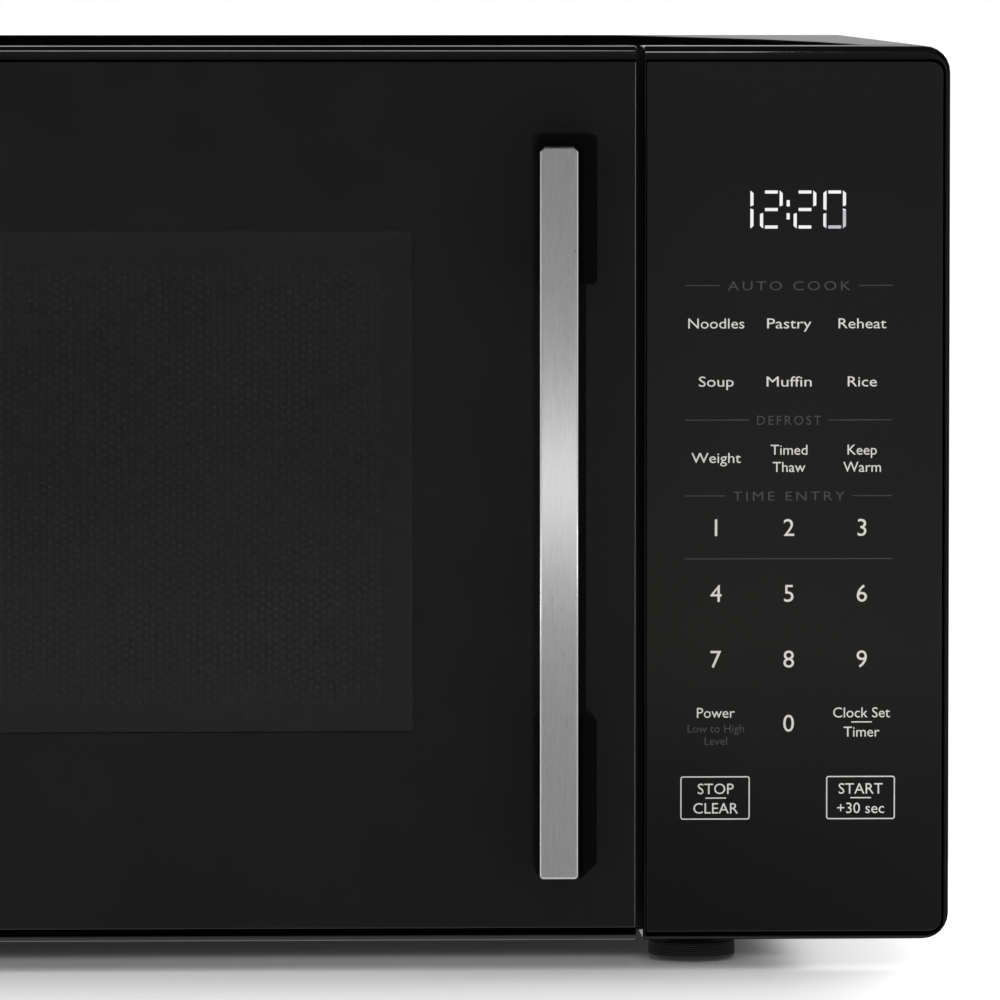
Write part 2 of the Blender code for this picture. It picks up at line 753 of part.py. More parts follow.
def make_door_frame():
    frame = box("door_frame", (-HALF, DOOR_RIGHT), (FRONT, DOOR_BACK), (BASE, HEIGHT), "gloss_black")
    bevel_edges(frame, "Y", CORNER, 6, lambda place: place.x < 0)
    pocket = box(
        "door_pocket",
        (-HALF + 0.0057, DOOR_RIGHT + 0.01),
        (FRONT - 0.01, GLASS_FRONT + GLASS + GAP),
        (DOOR_GLASS_BOTTOM - GAP, GLASS_TOP + GAP),
    )
    bevel_edges(pocket, "Y", 0.0050, 4, lambda place: place.x < 0)
    cut(frame, pocket)
    hollow = box("door_hollow", (-0.3040, 0.1836), (-0.2095, -0.1700), (0.0142, 0.3526))
    bevel_edges(hollow, "Y", 0.0070, 4, lambda place: place.x < 0)
    cut(frame, hollow)
    cut(frame, box("door_through", (-0.2850, 0.1680), (-0.2140, -0.2050), (0.0320, 0.3330)))
    notches = [
        ((-0.3100, -0.3030), (-0.1935, -0.1700), (0.3320, 0.3385)),
        ((-0.3100, -0.3030), (-0.1935, -0.1700), (0.0285, 0.0350)),
    ]
    return cut(frame, boxes("hinge_notches", notches))


def make_door_glass():
    glass = box(
        "door_glass",
        (-HALF + 0.0060, 0.1858),
        (GLASS_FRONT, GLASS_FRONT + GLASS),
        (DOOR_GLASS_BOTTOM, GLASS_TOP),
        "front_glass",
    )
    return bevel_edges(glass, "Y", 0.0047, 4, lambda place: place.x < 0)


def make_door_choke_frame():
    """The door's steel body: a web round the window and two rims that form the choke's channel."""
    spans = ((-0.2965, 0.1800), (-0.2070, -0.1845), (0.0352, 0.3318))
    frame = box("door_choke_frame", *spans, "zinc_steel")
    window = box(
        "choke_window",
        (WINDOW_X[0] - 0.0015, WINDOW_X[1] + 0.0015),
        (-0.2100, -0.1800),
        (WINDOW_Z[0] - 0.0015, WINDOW_Z[1] + 0.0015),
    )
    inner_rim_x = (-0.2530, 0.1170)
    inner_rim_z = (0.0760, 0.3010)
    well = box("choke_well", inner_rim_x, (-0.2060, -0.1800), inner_rim_z)
    channel = box("choke_channel", (-0.2955, 0.1790), (-0.2060, -0.1800), (0.0362, 0.3308))
    rim = box(
        "choke_rim",
        (inner_rim_x[0] - 0.001, inner_rim_x[1] + 0.001),
        (-0.2065, -0.1850),
        (inner_rim_z[0] - 0.001, inner_rim_z[1] + 0.001),
    )
    cut(frame, channel)
    join(frame, rim)
    cut(frame, well)
    return cut(frame, window)


def make_door_mesh_screen():
    spans = ((-0.2510, 0.1150), (-0.2056, -0.2050), (0.0780, 0.2990))
    return box("door_mesh_screen", *spans, "screen_steel")


def make_door_inner_pane():
    spans = ((-0.2515, 0.1155), (-0.2046, -0.2030), (0.0775, 0.2995))
    return box("door_inner_pane", *spans, "clear_glass")


def make_door_choke_cover():
    """The moulding over the choke on the oven side, with slots for the latch hooks."""
    outside = ((-0.2960, 0.1820), (-0.1841, -0.1812), (0.0170, 0.3500))
    cover = box("door_choke_cover", *outside, "black_plastic")
    spans = [
        ((-0.2460, 0.1100), (-0.1900, -0.1700), (0.0830, 0.2940)),
        ((0.1638, 0.1702), (-0.1900, -0.1700), (0.0705, 0.0930)),
        ((0.1638, 0.1702), (-0.1900, -0.1700), (0.2625, 0.2850)),
    ]
    return cut(cover, boxes("choke_cover_openings", spans))


def make_door_hinge_plate(name, z):
    plate = box(name, (-0.3036, -0.2700), (-0.1990, -0.1846), z, "zinc_steel")
    join(plate, box(name + "_ear", (-0.3052, -0.3000), (-0.1925, -0.1850), z))
    eye = (HINGE.x, HINGE.y, sum(z) / 2)
    return cut(plate, rod(name + "_eye", "Z", eye, 0.0026, 0.010, segments=20))


def make_handle_body():
    """The black grip: a bar that widens behind the trim, on two solid feet against the glass."""
    bar_x = (HANDLE_X[0] + 0.0003, HANDLE_X[1] - 0.0003)
    bar_z = (HANDLE_Z[0] + 0.0004, HANDLE_Z[1] - 0.0004)
    bar = box("handle_body", bar_x, (-0.2510, GRIP_BACK), bar_z, "black_plastic")
    bm = bmesh.new()
    bm.from_mesh(bar.data)
    for vert in bm.verts:
        if vert.co.x > 0 and vert.co.y > 0:
            vert.co.x += 0.0038
    bm.to_mesh(bar.data)
    bm.free()
    depth = (GRIP_BACK - 0.0040, GLASS_FRONT - GAP)
    x0, x1 = HANDLE_FOOT_X
    fillet = 0.0020
    z0, z1 = UPPER_FOOT_Z
    upper = [
        *arc((x0 + fillet, z0 + fillet), fillet, 180, 270, 3),
        *arc((x1 - fillet, z0 + fillet), fillet, 270, 360, 3),
        *arc((x1 - fillet, z1 - fillet), fillet, 0, 90, 3),
        *arc((x0 + fillet, z1 - fillet), fillet, 90, 180, 3),
    ]
    z0, z1 = LOWER_FOOT_Z
    lower = [
        *arc((x0 + fillet, z0 + fillet), fillet, 180, 270, 3),
        (x1 - 0.0058, z0),
        (x1, z0 + 0.0061),
        *arc((x1 - fillet, z1 - fillet), fillet, 0, 90, 3),
        *arc((x0 + fillet, z1 - fillet), fillet, 90, 180, 3),
    ]
    join(bar, outline("handle_upper_foot", upper, depth))
    join(bar, outline("handle_lower_foot", lower, depth))
    return bar


def make_handle_trim():
    trim = box("handle_trim", HANDLE_X, (HANDLE_FRONT, -0.2513), HANDLE_Z, "brushed_steel")
    bevel_edges(trim, "Y", 0.0018, 3)
    return trim


def make_latch_hook():
    """The sprung bar in the door with its two hooks. It lifts against the spring as the hooks ride in."""
    spans = ((0.1640, 0.1700), (-0.2030, -0.1980), (0.0700, LATCH_TOP))
    hook = box("latch_hook", *spans, "natural_plastic")
    for number, (low, high) in enumerate(HOOK_Z):
        join(hook, box("hook_arm", HOOK_X, (-0.1990, HOOK_TIP), (low, high)))
        barb = [
            (-0.1720, low - 0.0040),
            (HOOK_TIP - 0.0030, low - 0.0040),
            (HOOK_TIP - 0.0002, low + 0.0010),
            (-0.1720, low + 0.0010),
        ]
        inside = (HOOK_X[0] + 0.0001, HOOK_X[1] - 0.0001)
        join(hook, outline(f"hook_barb_{number}", barb, inside, axis="X"))
    return hook


def make_latch_spring():
    """A compression spring between the latch bar's top and the choke's upper wall."""
    low = LATCH_TOP + GAP
    high = 0.3308 - GAP
    turns = 7
    points_per_turn = 10
    wire = 0.0005
    radius = 0.0022
    curve = bpy.data.curves.new("latch_spring", "CURVE")
    curve.dimensions = "3D"
    curve.bevel_depth = wire
    curve.bevel_resolution = 1
    curve.use_fill_caps = True
    spline = curve.splines.new("POLY")
    count = turns * points_per_turn
    spline.points.add(count)
    for number, point in enumerate(spline.points):
        share = number / count
        angle = 2 * math.pi * turns * share
        height = (low + wire) + (high - low - 2 * wire) * share
        point.co = (radius * math.cos(angle), radius * math.sin(angle), height, 1.0)
    spring = bpy.data.objects.new("latch_spring", curve)
    spring.location = (sum(HOOK_X) / 2, -0.2000, 0.0)
    curve.materials.append(MATERIALS["zinc_steel"])
    PARTS.objects.link(spring)
    return spring


# ---------------------------------------------------------------- turntable


def make_glass_tray():
    profile = [
        (0.0, TRAY_BOTTOM + 0.0042),
        (0.1480, TRAY_BOTTOM + 0.0042),
        (0.1640, TRAY_BOTTOM + 0.0062),
        (0.1762, TRAY_BOTTOM + 0.0176),
        (0.1790, TRAY_BOTTOM + 0.0180),
        (TRAY_RADIUS, TRAY_BOTTOM + 0.0168),
        (0.1680, TRAY_BOTTOM + 0.0040),
        (0.1560, TRAY_BOTTOM),
        (0.0, TRAY_BOTTOM),
    ]
    return turned("glass_tray", profile, TURNTABLE, "clear_glass", steps=56)


def make_drive_coupler():
    """The three-armed driver under the tray, with its shaft down to the motor."""
    top = TRAY_BOTTOM - GAP
    low = 0.0500
    hub = (TURNTABLE.x, TURNTABLE.y, (top + low) / 2)
    coupler = rod("drive_coupler", "Z", hub, 0.0100, top - low, "natural_plastic")
    half = (top - low) / 2 - 0.0002
    for angle in (90, 210, 330):
        arm = ((0.0, 0.0230), (-0.0050, 0.0050), (-half, half))
        join(coupler, radial_tool("coupler_arm", *arm, hub, angle))
    stem_z = (0.0376, 0.0510)
    stem = (TURNTABLE.x, TURNTABLE.y, sum(stem_z) / 2)
    shaft = rod("coupler_stem", "Z", stem, 0.0050, stem_z[1] - stem_z[0], segments=20)
    return join(coupler, shaft)


def make_turntable_motor():
    place = (TURNTABLE.x, TURNTABLE.y, 0.0280)
    motor = rod("turntable_motor", "Z", place, 0.0250, 0.0150, "zinc_steel", segments=32)
    ears = box(
        "motor_ears",
        (TURNTABLE.x - 0.0360, TURNTABLE.x + 0.0360),
        (TURNTABLE.y - 0.0070, TURNTABLE.y + 0.0070),
        (0.0345, 0.0358),
    )
    join(motor, ears)
    return smooth(motor)


def make_roller_ring():
    """The ring that runs under the tray, with three axles for its wheels."""
    profile = [(0.0990, 0.0553), (0.1070, 0.0553), (0.1070, 0.0493), (0.0990, 0.0493)]
    ring = turned("roller_ring", profile, TURNTABLE, "natural_plastic", steps=48, closed=True)
    for number, angle in enumerate(WHEEL_ANGLES):
        axle = rod(f"roller_axle_{number}", "X", TURNTABLE, 0.0018, 0.0190, segments=12)
        axle.data.transform(Matrix.Translation(Vector((0.1135, 0.0, WHEEL_HEIGHT))))
        axle.rotation_euler = (0.0, 0.0, math.radians(angle))
        join(ring, axle)
    return ring


def make_roller_wheel(number, angle, ring_axis):
    name = f"roller_wheel_{number}"
    half = 0.0040
    profile = [
        (0.0022, half),
        (WHEEL_RADIUS - 0.0008, half),
        (WHEEL_RADIUS, half - 0.0008),
        (WHEEL_RADIUS, -half + 0.0008),
        (WHEEL_RADIUS - 0.0008, -half),
        (0.0022, -half),
    ]
    turn = math.radians(angle)
    outward = Vector((math.cos(turn), math.sin(turn), 0.0))
    place = TURNTABLE + WHEEL_TRACK * outward + Vector((0.0, 0.0, WHEEL_HEIGHT))
    wheel = turned(name, profile, place, "natural_plastic", steps=28, closed=True)
    wheel.rotation_euler = (0.0, math.pi / 2, turn)
    attach(axis_empty(name + "_axis", place, ring_axis), wheel)
    return wheel


# ---------------------------------------------------------------- assembly


def assemble_chassis():
    make_outer_cabinet()
    make_base_plate()
    make_rear_panel()
    make_front_plate()
    upper = {"arm_z": (0.3355, 0.3375), "pin_z": (0.3318, 0.3365), "flange_z": (0.3260, 0.3460)}
    lower = {"arm_z": (0.0295, 0.0315), "pin_z": (0.0305, 0.0352), "flange_z": (0.0280, 0.0480)}
    make_hinge_bracket("hinge_bracket_upper", **upper)
    make_hinge_bracket("hinge_bracket_lower", **lower)
    for side, place in FOOT_PLACES.items():
        make_foot("foot_" + side, place)
    make_rear_spacer("rear_spacer_left", -0.2000)
    make_rear_spacer("rear_spacer_right", 0.2000)
    make_cord_gland()
    make_cabinet_screw("rear_screw_left", -0.2900, 0.2000)
    make_cabinet_screw("rear_screw_right", 0.2960, 0.2000)


def assemble_oven():
    make_oven_cavity()
    make_waveguide_cover()
    make_waveguide()
    make_magnetron()
    make_cavity_lamp()
    make_thermal_cutout()
    make_transformer_core()
    make_transformer_coil()
    make_capacitor()
    make_hv_diode()
    make_filter_board()
    make_fan_shroud()
    make_fan_motor()
    attach(axis_empty("fan_axis", FAN), make_fan_blade())
    make_turntable_motor()


def assemble_interlock():
    make_interlock_bracket()
    for name, height in (("sensing", 0.0790), ("monitor", 0.0852), ("primary", 0.2740)):
        make_switch(name + "_switch", height)
        make_plunger(name + "_plunger", height)


def assemble_control_panel():
    make_control_panel_frame()
    make_panel_glass()
    make_touch_sheet()
    make_display_module()
    make_control_board()


def assemble_door():
    hinge = axis_empty("door_hinge", HINGE)
    attach(
        hinge,
        make_door_frame(),
        make_door_glass(),
        make_door_choke_frame(),
        make_door_mesh_screen(),
        make_door_inner_pane(),
        make_door_choke_cover(),
        make_door_hinge_plate("door_hinge_plate_upper", (0.3325, 0.3350)),
        make_door_hinge_plate("door_hinge_plate_lower", (0.0320, 0.0345)),
        make_handle_body(),
        make_handle_trim(),
    )
    latch = axis_empty("latch_axis", Vector((sum(HOOK_X) / 2, -0.2005, 0.1810)), hinge)
    attach(latch, make_latch_hook(), make_latch_spring())


def assemble_turntable():
    tray_axis = axis_empty("turntable_axis", TURNTABLE)
    attach(tray_axis, make_glass_tray(), make_drive_coupler())
    ring_axis = axis_empty("roller_ring_axis", TURNTABLE)
    attach(ring_axis, make_roller_ring())
    for number, angle in enumerate(WHEEL_ANGLES, start=1):
        make_roller_wheel(number, angle, ring_axis)


assemble_chassis()
assemble_oven()
assemble_interlock()
assemble_control_panel()
assemble_door()
assemble_turntable()
bpy.context.view_layer.update()
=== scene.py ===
"""Looks of the countertop microwave oven: studio, materials, frames, display, key legends and fittings.

Units are metres, in the CAD frame: +X right, +Y back, +Z up, with the feet on z = 0.
"""

import math

import bmesh
import bpy
from mathutils import Matrix, Vector


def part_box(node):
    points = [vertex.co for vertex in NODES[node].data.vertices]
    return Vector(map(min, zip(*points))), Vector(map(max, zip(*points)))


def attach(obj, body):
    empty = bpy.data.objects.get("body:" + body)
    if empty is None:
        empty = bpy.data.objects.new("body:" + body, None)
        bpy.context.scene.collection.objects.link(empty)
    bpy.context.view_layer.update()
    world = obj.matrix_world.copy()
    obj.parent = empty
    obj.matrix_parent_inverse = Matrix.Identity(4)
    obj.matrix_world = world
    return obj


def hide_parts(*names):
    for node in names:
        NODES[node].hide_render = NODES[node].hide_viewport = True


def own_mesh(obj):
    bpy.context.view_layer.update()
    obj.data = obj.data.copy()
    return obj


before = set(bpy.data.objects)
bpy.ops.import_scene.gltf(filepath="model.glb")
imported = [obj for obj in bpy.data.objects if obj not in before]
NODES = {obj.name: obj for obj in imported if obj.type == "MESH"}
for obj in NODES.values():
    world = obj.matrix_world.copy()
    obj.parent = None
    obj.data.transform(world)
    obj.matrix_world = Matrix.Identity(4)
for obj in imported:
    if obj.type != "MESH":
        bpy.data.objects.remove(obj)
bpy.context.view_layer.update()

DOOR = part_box("door_frame")
DOOR_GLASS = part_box("door_glass")
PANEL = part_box("control_panel_frame")
PANEL_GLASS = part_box("panel_glass")
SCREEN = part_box("door_mesh_screen")
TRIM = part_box("handle_trim")

FRONT = DOOR[0].y
GAP = 0.0003  # between a glass and the frame behind and beside it
WINDOW_X = (-0.2360, 0.1004)  # clear part of the door's glass
WINDOW_Z = (0.0921, 0.2843)
SMOOTH_UP_TO = math.radians(35)
LEGEND_BACK = PANEL_GLASS[0].y - 0.00001
LEGEND_FRONT = LEGEND_BACK - 0.00004
COLUMNS = (0.2167, 0.2447, 0.2728)  # middles of the key columns along X
CAP_HEIGHT = 0.729  # of a capital in the built-in font at size 1
LINE = 0.00045  # width of the printed lines


def grey(level, warmth=0.0):
    return (level * (1 + warmth), level, level * (1 - warmth))


# ---------------------------------------------------------------- studio


def add_camera():
    data = bpy.data.cameras.new("camera")
    data.sensor_width = 36.0
    data.lens = 343.1
    camera = bpy.data.objects.new("camera", data)
    camera.location = (0.0, -3.86, 0.3923)
    pitch, yaw = math.radians(3.312), math.radians(2.1025)
    camera.rotation_euler = (math.pi / 2 - pitch, 0.0, -yaw)
    bpy.context.scene.collection.objects.link(camera)
    bpy.context.scene.camera = camera


def area_light(name, place, aim, size, watts, only=None):
    """A rectangular soft light that points at aim, lighting only the given objects where some are named."""
    data = bpy.data.lights.new(name, "AREA")
    data.shape = "RECTANGLE"
    data.size, data.size_y = size
    data.energy = watts
    light = bpy.data.objects.new(name, data)
    light.location = place
    light.rotation_euler = (Vector(aim) - Vector(place)).to_track_quat("-Z", "Y").to_euler()
    light.visible_camera = False
    bpy.context.scene.collection.objects.link(light)
    if only:
        receivers = bpy.data.collections.new(name + "_receivers")
        for obj in only:
            receivers.objects.link(obj)
        light.light_linking.receiver_collection = receivers
    return light


def add_floor():
    bm = bmesh.new()
    bmesh.ops.create_circle(bm, cap_ends=True, segments=64, radius=60.0)
    mesh = bpy.data.meshes.new("floor")
    bm.to_mesh(mesh)
    bm.free()
    floor = bpy.data.objects.new("floor", mesh)
    bpy.context.scene.collection.objects.link(floor)
    look = Look("floor_paper")
    tone = look.noise(3.0, detail=3)
    look.colour(look.ramp(tone, (0.3, (0.90, 0.90, 0.90)), (0.7, (0.92, 0.92, 0.92))))
    look.roughness(0.9)
    away = look.add("ShaderNodeVectorMath", operation="LENGTH")
    look.feed(away.inputs[0], look.place)
    far_glow = look.span(away.outputs["Value"], 0.7, 1.6, 0.0, 0.22)
    rear_glow = look.span(look.axis("Y"), -0.04, 0.22, 0.0, 0.24)
    right_glow = look.span(look.axis("X"), 0.235, 0.335, 0.0, 0.24)
    look.feed(look.shader.inputs["Emission Color"], (1.0, 1.0, 1.0))
    glow = look.maths("MAXIMUM", look.maths("MAXIMUM", far_glow, rear_glow), right_glow)
    look.feed(look.shader.inputs["Emission Strength"], glow)
    floor.data.materials.append(look.material)
    floor.visible_glossy = False
    return floor


def add_world():
    """Even white light on matt surfaces, and in reflections a dark studio with pale sides."""
    world = bpy.data.worlds.new("studio")
    bpy.context.scene.world = world
    world.use_nodes = True
    nodes, links = world.node_tree.nodes, world.node_tree.links
    nodes.clear()
    way = nodes.new("ShaderNodeTexCoord")
    split = nodes.new("ShaderNodeSeparateXYZ")
    links.new(way.outputs["Generated"], split.inputs[0])

    def levels(*stops):
        """Grey levels against the height of a direction, from -1 straight down to 1 straight up."""
        share = nodes.new("ShaderNodeMapRange")
        share.inputs["From Min"].default_value = -1.0
        links.new(split.outputs["Z"], share.inputs["Value"])
        node = nodes.new("ShaderNodeValToRGB")
        links.new(share.outputs[0], node.inputs[0])
        set_stops(node.color_ramp, [((height + 1) / 2, grey(level)) for height, level in stops])
        return node.outputs[0]

    def blend(value, start, end, first, second):
        share = nodes.new("ShaderNodeMapRange")
        share.interpolation_type = "SMOOTHSTEP"
        share.inputs["From Min"].default_value = start
        share.inputs["From Max"].default_value = end
        links.new(value, share.inputs["Value"])
        node = nodes.new("ShaderNodeMix")
        node.data_type = "RGBA"
        links.new(share.outputs[0], node.inputs[0])
        links.new(first, node.inputs[6])
        links.new(second, node.inputs[7])
        return node.outputs[2]

    ahead = levels(
        *((-1, 0.75), (-0.5, 0.7), (-0.25, 0.35), (-0.12, 0.10), (0, 0.10)),
        *((0.1, 0.17), (0.4, 0.17), (0.5, 0.05), (1, 0.02)),
    )
    behind = levels(
        *((-1, 0.5), (-0.12, 0.45), (-0.03, 0.02), (0, 0.001), (0.05, 0.001)),
        *((0.12, 1.0), (0.5, 1.0), (0.7, 0.05), (1, 0.02)),
    )
    beside = levels((-1, 0.6), (-0.2, 0.3), (0, 0.3), (0.3, 0.35), (0.6, 0.1), (1, 0.02))
    across = nodes.new("ShaderNodeMath")
    across.operation = "ABSOLUTE"
    links.new(split.outputs["X"], across.inputs[0])
    studio = blend(across.outputs[0], 0.15, 0.6, blend(split.outputs["Y"], -0.3, 0.3, ahead, behind), beside)
    path = nodes.new("ShaderNodeLightPath")
    reflected = nodes.new("ShaderNodeBackground")
    links.new(studio, reflected.inputs["Color"])
    plain = nodes.new("ShaderNodeBackground")
    plain.inputs["Color"].default_value = (1.0, 1.0, 1.0, 1.0)
    plain.inputs["Strength"].default_value = 0.95
    chosen = nodes.new("ShaderNodeMixShader")
    links.new(path.outputs["Is Glossy Ray"], chosen.inputs[0])
    links.new(plain.outputs[0], chosen.inputs[1])
    links.new(reflected.outputs[0], chosen.inputs[2])
    seen = nodes.new("ShaderNodeBackground")
    seen.inputs["Color"].default_value = (1.0, 1.0, 1.0, 1.0)
    backdrop = nodes.new("ShaderNodeMixShader")
    links.new(path.outputs["Is Camera Ray"], backdrop.inputs[0])
    links.new(chosen.outputs[0], backdrop.inputs[1])
    links.new(seen.outputs[0], backdrop.inputs[2])
    output = nodes.new("ShaderNodeOutputWorld")
    links.new(backdrop.outputs[0], output.inputs[0])


def add_reflected_card():
    """A pale board behind the oven that only shows as a wedge of light in the cabinet's lacquered top."""
    place_y = 2.0
    low = 0.30
    flatter = ((0.27, 0.3705), (0.3385, 0.3725), (0.3754, 0.3736))
    steeper = ((0.4124, 0.3753), (0.4346, 0.3768), (0.60, 0.3890))
    bm = bmesh.new()
    outline = [*flatter, *steeper, (steeper[-1][0], low), (flatter[0][0], low)]
    bm.faces.new([bm.verts.new((x, place_y, z)) for x, z in outline])
    mesh = bpy.data.meshes.new("reflected_card")
    bm.to_mesh(mesh)
    bm.free()
    card = bpy.data.objects.new("reflected_card", mesh)
    bpy.context.scene.collection.objects.link(card)
    look = Look("pale_board")
    glow = look.ramp(look.noise(6, 2), (0.3, grey(0.97)), (0.7, grey(1.0)))
    look.colour(grey(0.0))
    look.feed(look.shader.inputs["Emission Color"], glow)
    look.set(Emission_Strength=0.33)
    card.data.materials.append(look.material)
    card.visible_camera = False
    card.visible_diffuse = False
    card.visible_shadow = False
    card.visible_transmission = False


# ---------------------------------------------------------------- material tools


def set_stops(ramp, stops):
    while len(ramp.elements) < len(stops):
        ramp.elements.new(0.5)
    for element, (position, colour) in zip(ramp.elements, stops):
        element.position = position
        element.color = (*colour, 1.0)


class Look:
    """A material with short ways to add nodes. Its patterns are in metres, in the CAD frame at rest."""

    def __init__(self, name):
        self.material = bpy.data.materials.new(name)
        self.material.use_nodes = True
        self.tree = self.material.node_tree
        self.shader = self.tree.nodes["Principled BSDF"]
        self.place = self.tree.nodes.new("ShaderNodeTexCoord").outputs["Object"]
        self.bumped = None

    def add(self, kind, **settings):
        node = self.tree.nodes.new(kind)
        for name, value in settings.items():
            setattr(node, name, value)
        return node

    def feed(self, socket, value):
        if isinstance(value, bpy.types.NodeSocket):
            self.tree.links.new(value, socket)
        elif isinstance(value, tuple) and len(value) == 3 and socket.type == "RGBA":
            socket.default_value = (*value, 1.0)
        else:
            socket.default_value = value

    def scaled(self, stretch):
        mapping = self.add("ShaderNodeMapping")
        self.feed(mapping.inputs["Vector"], self.place)
        self.feed(mapping.inputs["Scale"], stretch)
        return mapping.outputs[0]

    def noise(self, scale, detail=2.0, stretch=None, distortion=0.0):
        node = self.add("ShaderNodeTexNoise")
        self.feed(node.inputs["Vector"], self.scaled(stretch) if stretch else self.place)
        self.feed(node.inputs["Scale"], scale)
        self.feed(node.inputs["Detail"], detail)
        self.feed(node.inputs["Distortion"], distortion)
        return node.outputs["Fac"]

    def cells(self, scale, output="Distance", stretch=None):
        node = self.add("ShaderNodeTexVoronoi")
        self.feed(node.inputs["Vector"], self.scaled(stretch) if stretch else self.place)
        self.feed(node.inputs["Scale"], scale)
        return node.outputs[output]

    def axis(self, name):
        node = self.add("ShaderNodeSeparateXYZ")
        self.feed(node.inputs[0], self.place)
        return node.outputs[name]

    def maths(self, operation, first, second=0.0):
        node = self.add("ShaderNodeMath", operation=operation)
        self.feed(node.inputs[0], first)
        self.feed(node.inputs[1], second)
        return node.outputs[0]

    def span(self, value, start, end, low=0.0, high=1.0):
        """value taken from start..end to low..high, and held at the ends."""
        node = self.add("ShaderNodeMapRange")
        names = ("Value", "From Min", "From Max", "To Min", "To Max")
        for name, number in zip(names, (value, start, end, low, high)):
            self.feed(node.inputs[name], number)
        return node.outputs[0]

    def ramp(self, value, *stops):
        node = self.add("ShaderNodeValToRGB")
        set_stops(node.color_ramp, stops)
        self.feed(node.inputs[0], value)
        return node.outputs[0]

    def mix(self, factor, first, second):
        node = self.add("ShaderNodeMix", data_type="RGBA")
        for number, value in zip((0, 6, 7), (factor, first, second)):
            self.feed(node.inputs[number], value)
        return node.outputs[2]

    def inside(self, low, high):
        """1 inside a box from low to high and 0 outside it. None leaves an axis open."""
        result = None
        for name, start, end in zip("XYZ", low, high):
            if start is None:
                continue
            middle, half = (start + end) / 2, (end - start) / 2
            away = self.maths("ABSOLUTE", self.maths("SUBTRACT", self.axis(name), middle))
            within = self.maths("LESS_THAN", away, half)
            result = within if result is None else self.maths("MULTIPLY", result, within)
        return result

    def colour(self, value):
        self.feed(self.shader.inputs["Base Color"], value)

    def roughness(self, value):
        self.feed(self.shader.inputs["Roughness"], value)

    def set(self, **values):
        for name, value in values.items():
            self.feed(self.shader.inputs[name.replace("_", " ")], value)

    def bump(self, height, distance):
        """Adds relief of the given depth on top of what is there."""
        node = self.add("ShaderNodeBump")
        self.feed(node.inputs["Height"], height)
        node.inputs["Distance"].default_value = distance
        if self.bumped:
            self.feed(node.inputs["Normal"], self.bumped)
        self.bumped = node.outputs[0]
        self.feed(self.shader.inputs["Normal"], self.bumped)


# ---------------------------------------------------------------- materials


def cabinet_paint():
    """Black powder coat with a fine orange peel under a clear lacquer."""
    look = Look("cabinet_paint")
    look.colour(look.ramp(look.noise(260, 3), (0.35, grey(0.0030)), (0.7, grey(0.0050))))
    look.roughness(look.span(look.noise(45, 4), 0.3, 0.7, 0.30, 0.42))
    look.bump(look.noise(620, 2), 0.000003)
    look.set(Specular_IOR_Level=0.0, Coat_Weight=1.0, Coat_Roughness=0.006, Coat_IOR=1.5)
    return look.material


def plate_paint():
    """Satin black enamel of the plate round the oven's mouth."""
    look = Look("front_plate_enamel")
    look.colour(look.ramp(look.noise(300, 3), (0.35, (0.011, 0.011, 0.0115)), (0.7, (0.016, 0.016, 0.0165))))
    look.roughness(look.span(look.noise(60, 3), 0.3, 0.7, 0.28, 0.34))
    return look.material


def gloss_black():
    look = Look("gloss_black")
    look.colour(look.ramp(look.noise(90, 4), (0.3, grey(0.0020)), (0.75, grey(0.0028))))
    look.roughness(look.span(look.noise(70, 5), 0.35, 0.7, 0.05, 0.11))
    look.bump(look.noise(55, 2), 0.000006)
    return look.material


def painted_groove_shade():
    """Painted shade: a darker, matt black for the groove round the glass, standing in for the shade at its
    bottom.
    """
    look = Look("painted_groove_shade")
    look.colour(look.ramp(look.noise(500, 3), (0.3, grey(0.0004)), (0.7, grey(0.0009))))
    look.roughness(look.span(look.noise(700, 3), 0.3, 0.7, 0.8, 0.95))
    look.set(Specular_IOR_Level=0.04)
    return look.material


def door_glass():
    """Polished glass with a printed black border, and a smoked window left clear in it; the border's tone
    carries a painted reflection, paler lower down and darker towards the top.
    """
    look = Look("door_glass")
    low = (WINDOW_X[0], None, WINDOW_Z[0])
    high = (WINDOW_X[1], None, WINDOW_Z[1])
    window = look.inside(low, high)
    mottle = look.span(look.noise(40, 3), 0.3, 0.75, -0.07, 0.07)
    # painted reflection: the printed border is paler below about z 0.22 and darker towards the top
    painted_reflection_and_mottle = look.maths("ADD", look.span(look.axis("Z"), 0.22, 0.345, 0.6, 0.4), mottle)
    print_with_painted_reflection = look.ramp(painted_reflection_and_mottle, (0.3, grey(0.0066)), (0.7, grey(0.0108)))
    smoke = look.ramp(look.noise(14, 2), (0.3, grey(0.25)), (0.7, grey(0.28)))
    look.colour(look.mix(window, print_with_painted_reflection, smoke))
    look.set(Transmission_Weight=window, IOR=1.5)
    look.roughness(look.span(look.noise(30, 5), 0.4, 0.75, 0.0, 0.025))
    return look.material


def panel_glass():
    """Polished glass over a near-black print, with a painted reflection that makes it a little paler and
    warmer half-way up and darker towards the right.
    """
    look = Look("panel_glass")
    # painted reflection: a soft, paler and warmer band half-way up, and darker towards the right
    reflection_wobble = look.span(look.noise(9, 3, distortion=0.6), 0.35, 0.65, -0.08, 0.08)
    rise = look.maths("ADD", look.axis("Z"), look.maths("MULTIPLY", reflection_wobble, 0.1))
    height = look.span(rise, 0.0, 0.36)
    lower = ((0.05, grey(0.0055)), (0.15, grey(0.0066, 0.02)), (0.35, grey(0.0142, 0.06)))
    upper = ((0.62, grey(0.0116, 0.04)), (0.85, grey(0.0088)))
    rightward = look.span(look.axis("X"), 0.19, 0.30, 0.0, 0.3)
    look.colour(look.mix(rightward, look.ramp(height, *lower, *upper), grey(0.0075)))
    look.set(IOR=1.5)
    look.roughness(look.span(look.noise(24, 5), 0.4, 0.75, 0.0, 0.03))
    return look.material


